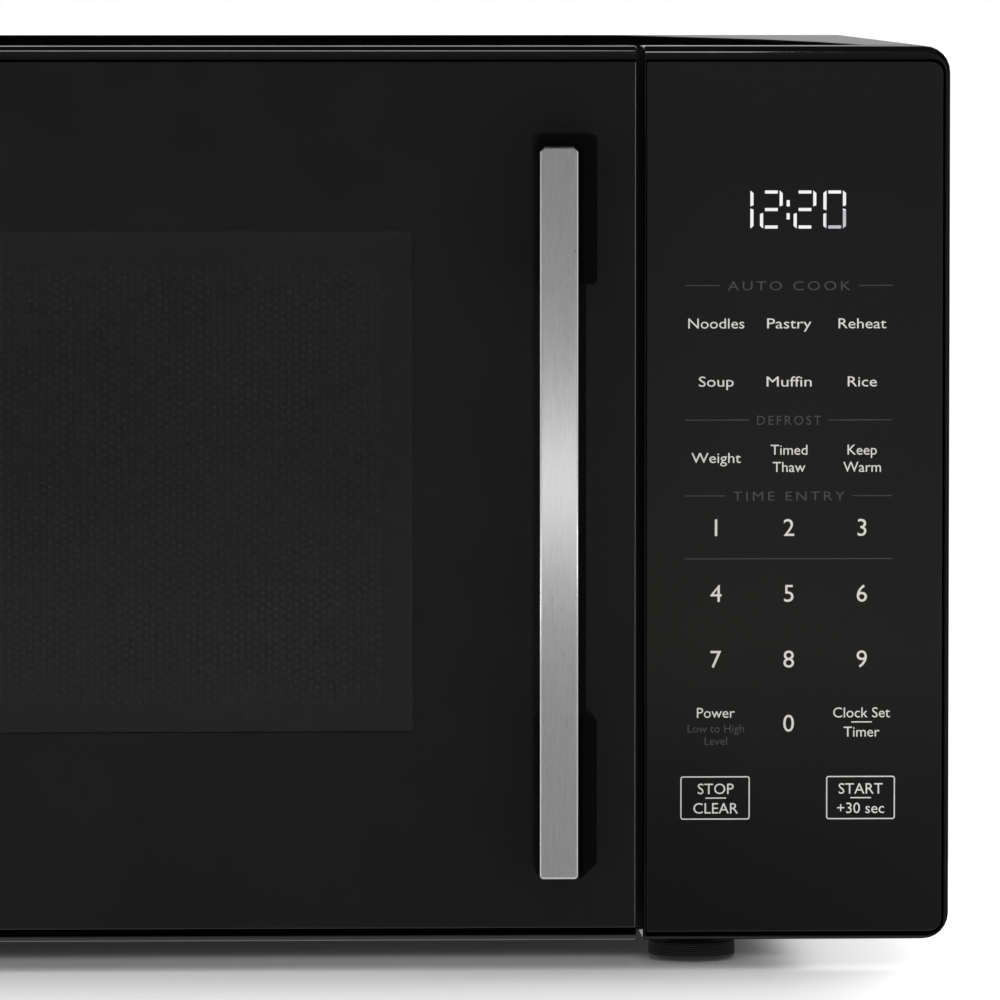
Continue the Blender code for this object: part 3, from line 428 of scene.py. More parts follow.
def edge_with_painted_highlight():
    """The ground and polished edge of the door's glass, pale grey: partly a real ground edge, partly a
    painted highlight.
    """
    look = Look("ground_glass_edge_and_painted_highlight")
    look.colour(look.ramp(look.noise(400, 3), (0.3, grey(0.22)), (0.7, grey(0.29))))
    look.roughness(look.span(look.noise(900, 3), 0.3, 0.7, 0.2, 0.34))
    return look.material


def clear_glass(name, tint):
    look = Look(name)
    deeper = tuple(part * 0.965 for part in tint)
    look.colour(look.ramp(look.noise(18, 2), (0.3, tint), (0.75, deeper)))
    look.roughness(look.span(look.noise(60, 4), 0.4, 0.8, 0.0, 0.05))
    look.bump(look.noise(35, 2), 0.00002)
    look.set(Transmission_Weight=1.0, IOR=1.5)
    return look.material


def brushed_steel():
    """Stainless trim with a fine vertical grain."""
    look = Look("brushed_steel")
    grain = look.noise(1.0, 4, stretch=(4200, 4200, 260))
    streaks = look.noise(1.0, 3, stretch=(1900, 1900, 30))
    both = look.maths("ADD", look.maths("MULTIPLY", grain, 0.7), look.maths("MULTIPLY", streaks, 0.3))
    look.colour(look.ramp(both, (0.32, (0.495, 0.495, 0.505)), (0.68, (0.605, 0.605, 0.61))))
    look.roughness(look.span(both, 0.3, 0.7, 0.27, 0.33))
    look.bump(grain, 0.000001)
    look.set(Metallic=1.0)
    return look.material


def polished_steel():
    look = Look("polished_steel_edge")
    look.colour(look.ramp(look.noise(400, 3), (0.3, (0.70, 0.70, 0.70)), (0.7, (0.80, 0.80, 0.80))))
    look.roughness(look.span(look.noise(150, 3), 0.3, 0.7, 0.12, 0.2))
    look.set(Metallic=1.0)
    return look.material


def black_plastic():
    """Satin moulding with a fine spark-eroded texture."""
    look = Look("black_plastic")
    look.colour(look.ramp(look.noise(120, 4), (0.3, grey(0.0075)), (0.75, grey(0.013))))
    look.roughness(look.span(look.noise(300, 3), 0.3, 0.7, 0.38, 0.5))
    look.bump(look.noise(1700, 2), 0.000014)
    return look.material


def handle_plastic():
    look = Look("handle_satin_black")
    look.colour(look.ramp(look.noise(900, 3), (0.3, grey(0.0006)), (0.75, grey(0.0010))))
    look.roughness(look.span(look.noise(700, 3), 0.3, 0.7, 0.26, 0.32))
    look.bump(look.noise(1500, 2), 0.000004)
    look.set(Specular_IOR_Level=0.14)
    return look.material


def foot_rubber():
    look = Look("foot_rubber")
    dust = look.span(look.axis("Z"), 0.0, 0.004, 1.0, 0.0)
    dark = look.ramp(look.noise(500, 4), (0.3, grey(0.009)), (0.75, grey(0.016)))
    look.colour(look.mix(look.maths("MULTIPLY", dust, look.noise(700, 3)), dark, grey(0.035, 0.05)))
    look.roughness(look.span(look.noise(900, 3), 0.3, 0.7, 0.5, 0.66))
    look.bump(look.noise(1600, 3), 0.00002)
    return look.material


def zinc_steel(name="zinc_steel", level=0.55):
    """Zinc-plated sheet: crystals of slightly different tone, and a fine rolled grain."""
    look = Look(name)
    spangle = look.cells(85, output="Color")
    tone = look.add("ShaderNodeRGBToBW")
    look.feed(tone.inputs[0], spangle)
    rolled = look.noise(1.0, 3, stretch=(25, 25, 1400))
    crystals = look.maths("MULTIPLY", tone.outputs[0], 0.55)
    both = look.maths("ADD", crystals, look.maths("MULTIPLY", rolled, 0.45))
    look.colour(look.ramp(both, (0.2, grey(level * 0.82, -0.01)), (0.8, grey(level * 1.12, -0.01))))
    look.roughness(look.span(both, 0.2, 0.8, 0.30, 0.46))
    look.bump(rolled, 0.000006)
    look.set(Metallic=1.0)
    return look.material


def cavity_enamel():
    """Light grey porcelain enamel with dark and pale specks."""
    look = Look("cavity_enamel")
    base = look.ramp(look.noise(30, 4), (0.3, (0.40, 0.41, 0.41)), (0.7, (0.46, 0.47, 0.47)))
    dark = look.maths("LESS_THAN", look.cells(520), 0.16)
    pale = look.maths("LESS_THAN", look.cells(390, stretch=(1.0, 1.3, 0.9)), 0.13)
    look.colour(look.mix(pale, look.mix(dark, base, (0.10, 0.10, 0.105)), (0.78, 0.78, 0.77)))
    look.roughness(look.span(look.noise(80, 3), 0.3, 0.7, 0.16, 0.26))
    look.bump(look.noise(240, 2), 0.00003)
    return look.material


def screen_coating():
    look = Look("screen_coating")
    look.colour(look.ramp(look.noise(400, 3), (0.3, grey(0.022)), (0.7, grey(0.034))))
    look.roughness(look.span(look.noise(900, 2), 0.3, 0.7, 0.4, 0.55))
    look.bump(look.noise(1500, 2), 0.00001)
    return look.material


def mica_sheet():
    look = Look("mica_sheet")
    flakes = look.cells(210, output="Color")
    tone = look.add("ShaderNodeRGBToBW")
    look.feed(tone.inputs[0], flakes)
    browns = ((0.2, (0.42, 0.34, 0.23)), (0.55, (0.55, 0.47, 0.35)), (0.85, (0.68, 0.62, 0.52)))
    look.colour(look.ramp(tone.outputs[0], *browns))
    look.roughness(look.span(tone.outputs[0], 0.2, 0.8, 0.34, 0.6))
    look.bump(tone.outputs[0], 0.00004)
    return look.material


def natural_plastic():
    look = Look("natural_plastic")
    tone = (0.70, 0.68, 0.61)
    deeper = tuple(part * 0.86 for part in tone)
    look.colour(look.ramp(look.noise(70, 4), (0.3, deeper), (0.7, tone)))
    look.roughness(look.span(look.noise(240, 3), 0.3, 0.7, 0.36, 0.48))
    look.bump(look.noise(900, 2), 0.00001)
    look.set(Subsurface_Weight=0.15, Subsurface_Radius=(0.004, 0.003, 0.002), Subsurface_Scale=0.5)
    return look.material


def copper_winding():
    """Rows of enamelled wire, one above another."""
    look = Look("copper_winding")
    wires = look.add("ShaderNodeTexWave", bands_direction="Z")
    look.feed(wires.inputs["Vector"], look.place)
    look.feed(wires.inputs["Scale"], 180.0)
    look.feed(wires.inputs["Distortion"], 0.4)
    turns = wires.outputs["Fac"]
    coppers = ((0.05, (0.10, 0.035, 0.012)), (0.6, (0.55, 0.24, 0.10)), (1.0, (0.66, 0.32, 0.15)))
    look.colour(look.ramp(turns, *coppers))
    look.roughness(look.span(look.noise(300, 3), 0.3, 0.7, 0.22, 0.36))
    look.bump(turns, 0.0003)
    look.set(Metallic=0.8)
    return look.material


def circuit_board(board_low, board_high):
    """Green board with etched tracks, and dark, brown or pale parts where the blocks stand off it."""
    look = Look("circuit_board")
    tracks = look.add("ShaderNodeTexBrick", offset=0.35)
    look.feed(tracks.inputs["Vector"], look.place)
    look.feed(tracks.inputs["Scale"], 90.0)
    look.feed(tracks.inputs["Mortar Size"], 0.03)
    look.feed(tracks.inputs["Color1"], (0.016, 0.10, 0.05))
    look.feed(tracks.inputs["Color2"], (0.022, 0.13, 0.06))
    look.feed(tracks.inputs["Mortar"], (0.05, 0.24, 0.12))
    tones = ((0.3, (0.02, 0.02, 0.02)), (0.5, (0.12, 0.05, 0.02)), (0.8, (0.35, 0.33, 0.27)))
    parts = look.ramp(look.cells(28, output="Color"), *tones)
    on_board = look.inside(board_low, board_high)
    look.colour(look.mix(on_board, parts, tracks.outputs["Color"]))
    look.roughness(look.span(look.noise(200, 3), 0.3, 0.7, 0.3, 0.5))
    look.bump(tracks.outputs["Fac"], 0.00004)
    return look.material


def display_window():
    look = Look("display_window")
    look.colour(look.ramp(look.noise(50, 3), (0.3, (0.006, 0.0065, 0.0065)), (0.7, (0.010, 0.011, 0.011))))
    look.roughness(look.span(look.noise(60, 3), 0.3, 0.7, 0.08, 0.16))
    return look.material


def legend_ink(name, level, warmth=0.0):
    """Screen-printed ink: a slight mottle and a matt face."""
    look = Look(name)
    look.colour(look.ramp(look.noise(2500, 2), (0.3, grey(level * 0.93, warmth)), (0.7, grey(level, warmth))))
    look.roughness(look.span(look.noise(1500, 2), 0.3, 0.7, 0.5, 0.62))
    return look.material


def lit_segments():
    """White light from the display's segments, a little softer towards some of them."""
    look = Look("lit_segments")
    worn = look.inside((0.2585, None, 0.2840), (0.2700, None, 0.2922))
    even = look.ramp(look.noise(160, 2), (0.3, (0.90, 0.92, 0.94)), (0.7, (1.0, 1.0, 1.0)))
    look.colour(look.ramp(look.noise(300, 2), (0.3, grey(0.08)), (0.7, grey(0.12))))
    look.feed(look.shader.inputs["Emission Color"], look.mix(worn, even, (0.52, 0.52, 0.58)))
    look.set(Emission_Strength=0.82)
    look.roughness(look.span(look.noise(900, 2), 0.3, 0.7, 0.4, 0.5))
    return look.material


# ---------------------------------------------------------------- shape tools


def add_piece(name, bm, material, body):
    """Link a mesh that is already in place as a piece that rides on a body."""
    mesh = bpy.data.meshes.new(name)
    bm.to_mesh(mesh)
    bm.free()
    return finish_piece(name, mesh, material, body)


def finish_piece(name, mesh, material, body):
    """A mesh that is already in place becomes a piece with one material, riding on a body."""
    piece = bpy.data.objects.new(name, mesh)
    bpy.context.scene.collection.objects.link(piece)
    mesh.materials.clear()
    mesh.materials.append(material)
    mesh.shade_smooth()
    mesh.set_sharp_from_angle(angle=SMOOTH_UP_TO)
    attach(piece, body)
    return piece


def rounded_loop(x, z, radii, steps=(6, 6, 6, 6)):
    """Points (x, z) round a rectangle with its own corner radii, from lower left to lower right and on."""
    corners = ((x[0], z[0], 180), (x[1], z[0], 270), (x[1], z[1], 0), (x[0], z[1], 90))
    points = []
    for (corner_x, corner_z, start), radius, steps_here in zip(corners, radii, steps):
        centre_x = corner_x + (radius if corner_x == x[0] else -radius)
        centre_z = corner_z + (radius if corner_z == z[0] else -radius)
        for step in range(steps_here + 1):
            angle = math.radians(start + 90 * step / steps_here)
            points.append((centre_x + radius * math.cos(angle), centre_z + radius * math.sin(angle)))
    return points


def loft(loops, closed=True):
    """Each loop of (x, y, z) points is joined to the next. A closed loft is a ring, an open one has caps."""
    bm = bmesh.new()
    rings = [[bm.verts.new(point) for point in loop] for loop in loops]
    for ring, following in zip(rings, rings[1:] + rings[:1] if closed else rings[1:]):
        for number in range(len(ring)):
            after = (number + 1) % len(ring)
            bm.faces.new((ring[number], ring[after], following[after], following[number]))
    if not closed:
        bm.faces.new(rings[0])
        bm.faces.new(rings[-1])
    bmesh.ops.recalc_face_normals(bm, faces=bm.faces)
    return bm


def plate(box, radii, edge, steps=(6, 6, 6, 6), arc_steps=4):
    """A flat plate that faces -Y, with its own corner radii and a front edge rounded by (width, depth)."""
    low, high = box
    width, depth = edge
    stations = [(0.0, high.y)]
    for step in range(arc_steps + 1):
        angle = math.pi / 2 * step / arc_steps
        stations.append((width * (1 - math.cos(angle)), low.y + depth * (1 - math.sin(angle))))
    stations.append((width + 0.0001, low.y))
    loops = []
    for inset, y in stations:
        x, z = (low.x + inset, high.x - inset), (low.z + inset, high.z - inset)
        shrunk = [max(radius - inset, radius * 0.3) for radius in radii]
        loops.append([(px, y, pz) for px, pz in rounded_loop(x, z, shrunk, steps)])
    return loft(loops, closed=False)


def lathe(profile, steps=64):
    """A closed turned solid about Z, from (radius, height) points that start and end on the axis."""
    bm = bmesh.new()
    rings = []
    for radius, height in profile:
        if radius == 0.0:
            rings.append([bm.verts.new((0.0, 0.0, height))])
            continue
        turns = [2 * math.pi * step / steps for step in range(steps)]
        rings.append([bm.verts.new((radius * math.cos(a), radius * math.sin(a), height)) for a in turns])
    for ring, following in zip(rings, rings[1:]):
        for number in range(steps):
            after = (number + 1) % steps
            corners = [ring[number % len(ring)], ring[after % len(ring)]]
            corners += [following[after % len(following)], following[number % len(following)]]
            bm.faces.new(list(dict.fromkeys(corners)))
    bmesh.ops.recalc_face_normals(bm, faces=bm.faces)
    return bm


def add_box(bm, low, high):
    size = Vector(high) - Vector(low)
    place = (Vector(high) + Vector(low)) / 2
    bmesh.ops.create_cube(bm, size=1.0, matrix=Matrix.LocRotScale(place, None, size))


def subtract(piece, bm):
    """Cut a closed tool mesh out of a piece, for good."""
    mesh = bpy.data.meshes.new("tool")
    bm.to_mesh(mesh)
    bm.free()
    tool = bpy.data.objects.new("tool", mesh)
    bpy.context.scene.collection.objects.link(tool)
    modifier = piece.modifiers.new("cut", "BOOLEAN")
    modifier.operation = "DIFFERENCE"
    modifier.solver = "EXACT"
    modifier.object = tool
    bpy.context.view_layer.update()
    made = bpy.data.meshes.new_from_object(piece.evaluated_get(bpy.context.evaluated_depsgraph_get()))
    piece.modifiers.clear()
    piece.data = made
    bpy.data.objects.remove(tool)
    bpy.data.meshes.remove(mesh)


def soften(obj, width):
    """Round a CAD node's hard edges, and keep its flat faces looking flat."""
    weld = obj.modifiers.new("weld", "WELD")
    weld.merge_threshold = 0.00001
    bevel = obj.modifiers.new("rounded_edges", "BEVEL")
    bevel.width = width
    bevel.segments = 2
    bevel.limit_method = "ANGLE"
    bevel.angle_limit = math.radians(40)
    flat = obj.modifiers.new("flat_faces", "WEIGHTED_NORMAL")
    flat.weight = 100


# ---------------------------------------------------------------- frames of the door and the panel


def rim_loops(box, glass, hole, hollow, margins, gaps, corner, web, back):
    """Stations of a moulded frame: outer side, rounded front edge, glass pocket, web and inner side.

    margins are the widths of the rounded edge at the left, right, bottom and top, and gaps are those of the
    groove round the glass.
    """
    low, high = box
    left, right, bottom, top = margins
    steps = 8
    loops = []

    def loop(x, z, radii, y):
        loops.append([(px, y, pz) for px, pz in rounded_loop(x, z, radii)])

    loop((low.x, high.x), (low.z, high.z), corner, back)
    depth = max(margins)
    for step in range(steps + 1):
        angle = math.pi / 2 * step / steps
        share = 1 - math.cos(angle)
        x = (low.x + left * share, high.x - right * share)
        z = (low.z + bottom * share, high.z - top * share)
        radii = [radius - 0.45 * share * min(depth, radius) for radius in corner]
        loop(x, z, radii, low.y + depth * (1 - math.sin(angle)))
    pocket_x = (glass[0].x - gaps[0], glass[1].x + gaps[1])
    pocket_z = (glass[0].z - gaps[2], glass[1].z + gaps[3])
    pocket_radii = [0.0050 if radius > 0.005 else 0.0006 for radius in corner]
    loop(pocket_x, pocket_z, pocket_radii, low.y + 0.00001)
    loop(pocket_x, pocket_z, pocket_radii, glass[1].y + GAP)
    small = [0.002] * 4
    loop(*hole, small, glass[1].y + GAP)
    loop(*hole, small, web)
    inner = [0.0070 if radius > 0.005 else 0.0006 for radius in corner]
    loop(*hollow, inner, web)
    loop(*hollow, inner, back)
    return loops


def give_groove_painted_shade(rim, box, glass):
    """The walls and the floor of the groove take the painted shade, a darker matt black."""
    rim.data.materials.append(painted_groove_shade())
    limit = 0.0030
    for face in rim.data.polygons:
        middle = face.center
        across = glass[0].x - limit < middle.x < glass[1].x + limit
        up = glass[0].z - limit < middle.z < glass[1].z + limit
        face.material_index = int(across and up and box[0].y + 0.0002 < middle.y < glass[1].y + GAP + 0.00001)


def make_door_rim(material):
    loops = rim_loops(
        DOOR,
        DOOR_GLASS,
        hole=((-0.2850, 0.1680), (0.0320, 0.3330)),
        hollow=((-0.3040, 0.1836), (0.0142, 0.3526)),
        margins=(0.0030, 0.0001, 0.0021, 0.0022),
        gaps=(GAP, GAP, 0.0026, 0.0009),
        corner=(0.010, 0.0008, 0.0008, 0.010),
        web=-0.2095,
        back=DOOR[1].y,
    )
    rim = add_piece("door_rim", loft(loops), material, "door")
    notches = bmesh.new()  # room for the hinge plates
    for low, high in ((0.3320, 0.3385), (0.0285, 0.0350)):
        add_box(notches, (-0.3100, -0.1935, low), (-0.3030, -0.1700, high))
    subtract(rim, notches)
    give_groove_painted_shade(rim, DOOR, DOOR_GLASS)
    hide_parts("door_frame")
    return rim


def make_panel_rim(material):
    loops = rim_loops(
        PANEL,
        PANEL_GLASS,
        hole=((0.1950, 0.2990), (0.0220, 0.3410)),
        hollow=((0.1904, 0.3045), (0.0140, 0.3528)),
        margins=(0.0006, 0.0014, 0.0010, 0.0030),
        gaps=(GAP, 0.0009, 0.0015, 0.0009),
        corner=(0.0010, 0.010, 0.010, 0.0010),
        web=-0.2100,
        back=PANEL[1].y,
    )
    rim = add_piece("control_panel_rim", loft(loops), material, "root")
    give_groove_painted_shade(rim, PANEL, PANEL_GLASS)
    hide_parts("control_panel_frame")
    return rim


# ---------------------------------------------------------------- front glass and the handle's trim


def make_front_glass():
    square, rounded = 0.0006, 0.0047
    edge = (0.0004, 0.0004)
    pieces = (
        (DOOR_GLASS, (rounded, square, square, rounded), door_glass(), "door", "door_glass"),
        (PANEL_GLASS, (square, rounded, rounded, square), panel_glass(), "root", "panel_glass"),
    )
    for box, radii, material, body, node in pieces:
        piece = add_piece(node + "_plate", plate(box, radii, edge), material, body)
        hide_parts(node)
        if node == "door_glass":
            piece.data.materials.append(edge_with_painted_highlight())
            # only the faces turned to the right take the pale edge, a painted highlight along the glass's
            # right side
            for face in piece.data.polygons:
                face.material_index = int(face.normal.x > 0.35)


def make_handle_trim():
    """A brushed plate with bright polished edges, its upper corners cut off and its lower ones rounded."""
    corners = (0.0015, 0.0015, 0.0020, 0.0020)
    bm = plate(TRIM, corners, (0.0009, 0.0007), steps=(4, 4, 1, 1))
    trim = add_piece("handle_trim_plate", bm, brushed_steel(), "door")
    trim.data.materials.append(polished_steel())
    for face in trim.data.polygons:
        face.material_index = int(abs(face.normal.y) < 0.97)
    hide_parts("handle_trim")
    return trim


# ---------------------------------------------------------------- door window


def make_perforated_screen(material):
    """The sheet behind the window, with staggered rows of holes."""
    pitch = 0.00303
    column = pitch * math.cos(math.pi / 6)
    radius = 0.00068
    low, high = SCREEN
    curve = bpy.data.curves.new("screen", "CURVE")
    curve.dimensions = "2D"
    curve.fill_mode = "BOTH"
    curve.extrude = (high.y - low.y) / 2

    def loop(points):
        spline = curve.splines.new("POLY")
        spline.points.add(len(points) - 1)
        for point, (x, z) in zip(spline.points, points):
            point.co = (x, z, 0.0, 1.0)
        spline.use_cyclic_u = True

    loop([(low.x, low.z), (high.x, low.z), (high.x, high.z), (low.x, high.z)])
    start_x, end_x, start_z, end_z = -0.2248, 0.0896, 0.1030, 0.2724
    columns = int((end_x - start_x) / column)
    rows = int((end_z - start_z) / pitch)
    turns = [math.pi / 3 * side for side in range(6)]
    for across in range(columns + 1):
        for up in range(rows + 1 - across % 2):
            x = start_x + column * across
            z = start_z + pitch * (up + (across % 2) / 2)
            loop([(x + radius * math.cos(turn), z + radius * math.sin(turn)) for turn in turns])
    guide = bpy.data.objects.new("screen_guide", curve)
    bpy.context.scene.collection.objects.link(guide)
    guide.rotation_euler = (math.pi / 2, 0.0, 0.0)
    guide.location = (0.0, (low.y + high.y) / 2, 0.0)
    bpy.context.view_layer.update()
    mesh = bpy.data.meshes.new_from_object(guide.evaluated_get(bpy.context.evaluated_depsgraph_get()))
    mesh.transform(guide.matrix_world)
    bpy.data.objects.remove(guide)
    screen = finish_piece("perforated_screen", mesh, material, "door")
    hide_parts("door_mesh_screen")


# ---------------------------------------------------------------- clock and key legends


def flat_pieces(outlines):
    """Thin closed prisms on the panel's face, one for each outline of (x, z) points."""
    bm = bmesh.new()
    for points in outlines:
        front = [bm.verts.new((x, LEGEND_FRONT, z)) for x, z in points]
        back = [bm.verts.new((x, LEGEND_BACK, z)) for x, z in points]
        bm.faces.new(front)
        bm.faces.new(back[::-1])
        for number in range(len(points)):
            after = (number + 1) % len(points)
            bm.faces.new((front[number], back[number], back[after], front[after]))
    bmesh.ops.recalc_face_normals(bm, faces=bm.faces)
    return bm


DIGITS = {"0": "abcdef", "1": "bc", "2": "abdeg"}


def segment_outlines(digit, left, low):
    """The lit segments of one digit: bars with a gap between them, the upright ones cut at a slant."""
    width, height, thick, gap = 0.0087, 0.0146, 0.0012, 0.0007
    high, middle = low + height, low + height / 2
    slant, corner = 0.0004, 0.0010
    level = {"a": high - thick, "g": middle - thick / 2, "d": low}
    upright = {
        "f": (middle - 0.0003, high),
        "e": (low, middle - 0.0013),
        "b": (middle + 0.0012, high),
        "c": (low, middle + 0.0004),
    }
    outlines = []
    for name in DIGITS[digit]:
        if name in level:
            x0, x1 = left + thick + gap, left + width - thick - gap
            z0, z1 = level[name], level[name] + thick
            outlines.append([(x0, z0), (x1, z0), (x1, z1), (x0, z1)])
            continue
        inner, outer = left + thick, left
        if name in "bc":
            inner, outer = left + width - thick, left + width
        z0, z1 = upright[name]
        lower_cut, upper_cut = (slant, corner) if z1 == high else (corner, slant)
        outlines.append([(inner, z0), (outer, z0 + lower_cut), (outer, z1 - upper_cut), (inner, z1)])
    return outlines


def make_clock(material):
    low = 0.2852
    outlines = []
    for digit, left in (("1", 0.2222), ("2", 0.2334), ("2", 0.2463), ("0", 0.2577)):
        outlines += segment_outlines(digit, left, low)
    for z0, z1 in ((0.2887, 0.2911), (0.2937, 0.2961)):
        outlines.append([(0.2436, z0), (0.2448, z0), (0.2448, z1), (0.2436, z1)])
    add_piece("clock_segments", flat_pieces(outlines), material, "root")


def add_text(bm, words, x, z, cap, width=None, spacing=1.0):
    """Letters centred on (x, z) with capitals of the given height, and of the given width if there is one."""
    curve = bpy.data.curves.new("words", "FONT")
    curve.body = words
    curve.align_x = "CENTER"
    curve.size = 1.0
    curve.extrude = 0.5
    curve.space_character = spacing
    curve.resolution_u = 3
    guide = bpy.data.objects.new("words", curve)
    bpy.context.scene.collection.objects.link(guide)
    bpy.context.view_layer.update()
    mesh = bpy.data.meshes.new_from_object(guide.evaluated_get(bpy.context.evaluated_depsgraph_get()))
    across = [vert.co.x for vert in mesh.vertices]
    size = cap / CAP_HEIGHT
    stretch = width / (max(across) - min(across)) if width else size
    middle_x = (max(across) + min(across)) / 2
    centre_y = (LEGEND_FRONT + LEGEND_BACK) / 2
    depth = LEGEND_BACK - LEGEND_FRONT
    for vert in mesh.vertices:
        along, height, thick = vert.co
        place_x, place_z = x + (along - middle_x) * stretch, z + (height - CAP_HEIGHT / 2) * size
        vert.co = (place_x, centre_y - thick * depth, place_z)
    bm.from_mesh(mesh)
    bpy.data.objects.remove(guide)
    bpy.data.curves.remove(curve)
    bpy.data.meshes.remove(mesh)


def bar(x0, x1, z):
    """The outline of a printed line that runs along X."""
    return [(x0, z - LINE / 2), (x1, z - LINE / 2), (x1, z + LINE / 2), (x0, z + LINE / 2)]


def make_legends(bright, dim, rule):
    """Key words, numerals, headings, lines and boxes, each kind of ink as a piece."""
    word_cap, numeral_cap, command_cap, heading_cap, note_cap = 0.0041, 0.0069, 0.0043, 0.0037, 0.0032
    shift = 0.0003  # the right-hand command key's middle lies a little left of its column
    words = bmesh.new()
    rows = (
        (0.2490, (("Noodles", 0.0215), ("Pastry", 0.0170), ("Reheat", 0.0184))),
        (0.2267, (("Soup", 0.0134), ("Muffin", 0.0173), ("Rice", 0.0112))),
    )
    for z, entries in rows:
        for x, (word, width) in zip(COLUMNS, entries):
            add_text(words, word, x, z, word_cap, width)
    add_text(words, "Weight", COLUMNS[0], 0.1974, word_cap, 0.0190)
    for x, lines in ((COLUMNS[1], ("Timed", "Thaw")), (COLUMNS[2], ("Keep", "Warm"))):
        for z, word in zip((0.2005, 0.1939), lines):
            add_text(words, word, x, z, word_cap)
    digit_rows = ((0.1707, "123"), (0.1454, "456"), (0.1201, "789"))
    for z, digits in digit_rows:
        for x, digit in zip(COLUMNS, digits):
            add_text(words, digit, x, z, numeral_cap)
    add_text(words, "0", COLUMNS[1], 0.0954, numeral_cap)
    add_text(words, "Power", COLUMNS[0], 0.0994, word_cap)
    add_text(words, "Clock Set", COLUMNS[2], 0.0994, word_cap)
    add_text(words, "Timer", COLUMNS[2], 0.0920, word_cap)
    for x, lines in ((COLUMNS[0], ("STOP", "CLEAR")), (COLUMNS[2] - shift, ("START", "+30 sec"))):
        for z, word in zip((0.0701, 0.0626), lines):
            add_text(words, word, x, z, command_cap)
    add_piece("key_legends", words, bright, "root")

    headings = bmesh.new()
    titles = ((0.2634, "AUTO COOK", 0.0472), (0.2118, "DEFROST", 0.0246), (0.1827, "TIME ENTRY", 0.0430))
    for z, word, width in titles:
        add_text(headings, word, COLUMNS[1], z, heading_cap, width, spacing=1.3)
    for z, word in ((0.0933, "Low to High"), (0.0885, "Level")):
        add_text(headings, word, COLUMNS[0], z, note_cap)
    add_piece("key_headings", headings, dim, "root")

    left, right = COLUMNS[0] - 0.0120, COLUMNS[2] + 0.0117
    bars = [
        ((left, left + 0.0134), 0.2634),
        ((right - 0.0130, right), 0.2634),
        ((left, left + 0.0249), 0.2118),
        ((right - 0.0249, right), 0.2118),
        ((left, left + 0.0157), 0.1827),
        ((right - 0.0153, right), 0.1827),
        ((left, right), 0.1585),
    ]
    add_piece("key_rules", flat_pieces([bar(*span, z) for span, z in bars]), rule, "root")
    dashes = ((COLUMNS[0], 0.0664), (COLUMNS[2] - shift, 0.0664), (COLUMNS[2], 0.0956))
    half = 0.0040
    dash_bars = flat_pieces([bar(x - half, x + half, z) for x, z in dashes])
    add_piece("key_dashes", dash_bars, bright, "root")

    loops = bmesh.new()
    corner = 0.0010
    for x in ((0.2031, 0.2298), (0.2592, 0.2857)):
        z = (0.0581, 0.0748)
        outer = rounded_loop(x, z, [corner] * 4)
        inner = rounded_loop((x[0] + LINE, x[1] - LINE), (z[0] + LINE, z[1] - LINE), [corner - LINE] * 4)
        stations = ((outer, LEGEND_FRONT), (outer, LEGEND_BACK), (inner, LEGEND_BACK), (inner, LEGEND_FRONT))
        ring = loft([[(px, y, pz) for px, pz in loop] for loop, y in stations])
        mesh = bpy.data.meshes.new("ring")
        ring.to_mesh(mesh)
        ring.free()
        loops.from_mesh(mesh)
        bpy.data.meshes.remove(mesh)
    add_piece("key_outlines", loops, bright, "root")


# ---------------------------------------------------------------- feet


def make_feet(material):
    """Ribbed pads with a rounded sole, and a recess for the screw below."""
    top = 0.0078
    neck_radius = 0.0080
    ribs, pitch = 6, 0.0008
    sole_width, sole_height, sole_steps = 0.0028, 0.0021, 5
    recess = [(0.0062, 0.0), (0.0058, 0.0004), (0.0058, 0.0045), (0.0, 0.0045)]
    for name in ("foot_front_left", "foot_front_right", "foot_rear_left", "foot_rear_right"):
        low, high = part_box(name)
        centre = (low + high) / 2
        radius = (high.x - low.x) / 2
        groove = radius - 0.00045
        profile = [(0.0, high.z), (neck_radius, high.z), (neck_radius, top + 0.0008), (0.0088, top)]
        profile += [(radius - 0.0009, top), (radius - 0.0001, top - 0.0007)]
        for rib in range(ribs):
            z = top - 0.0010 - pitch * rib
            profile += [(groove, z), (groove, z - pitch * 0.3)]
            profile += [(radius, z - pitch * 0.5), (radius, z - pitch * 0.9)]
        for step in range(sole_steps + 1):
            angle = math.pi / 2 * step / sole_steps
            inward = sole_width * (1 - math.cos(angle))
            profile.append((radius - inward, sole_height * (1 - math.sin(angle))))
        bm = lathe(profile + recess)
        bmesh.ops.translate(bm, verts=bm.verts, vec=(centre.x, centre.y, 0.0))
        foot = add_piece(name.replace("foot", "ribbed_foot"), bm, material, "root")
        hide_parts(name)


# ---------------------------------------------------------------- latch spring


def make_latch_coil():
    """The latch's spring stands against the door's upper wall; it is a copy of its CAD node that rides on the
    door.
    """
    mesh = NODES["latch_spring"].data.copy()
    coil = finish_piece("latch_coil", mesh, zinc_steel("spring_wire", 0.48), "door")
    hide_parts("latch_spring")
    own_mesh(coil)


# ---------------------------------------------------------------- finishes of the CAD nodes


def dress(material, *names):
    for name in names:
        obj = NODES[name]
        obj.data.materials.clear()
        obj.data.materials.append(material)


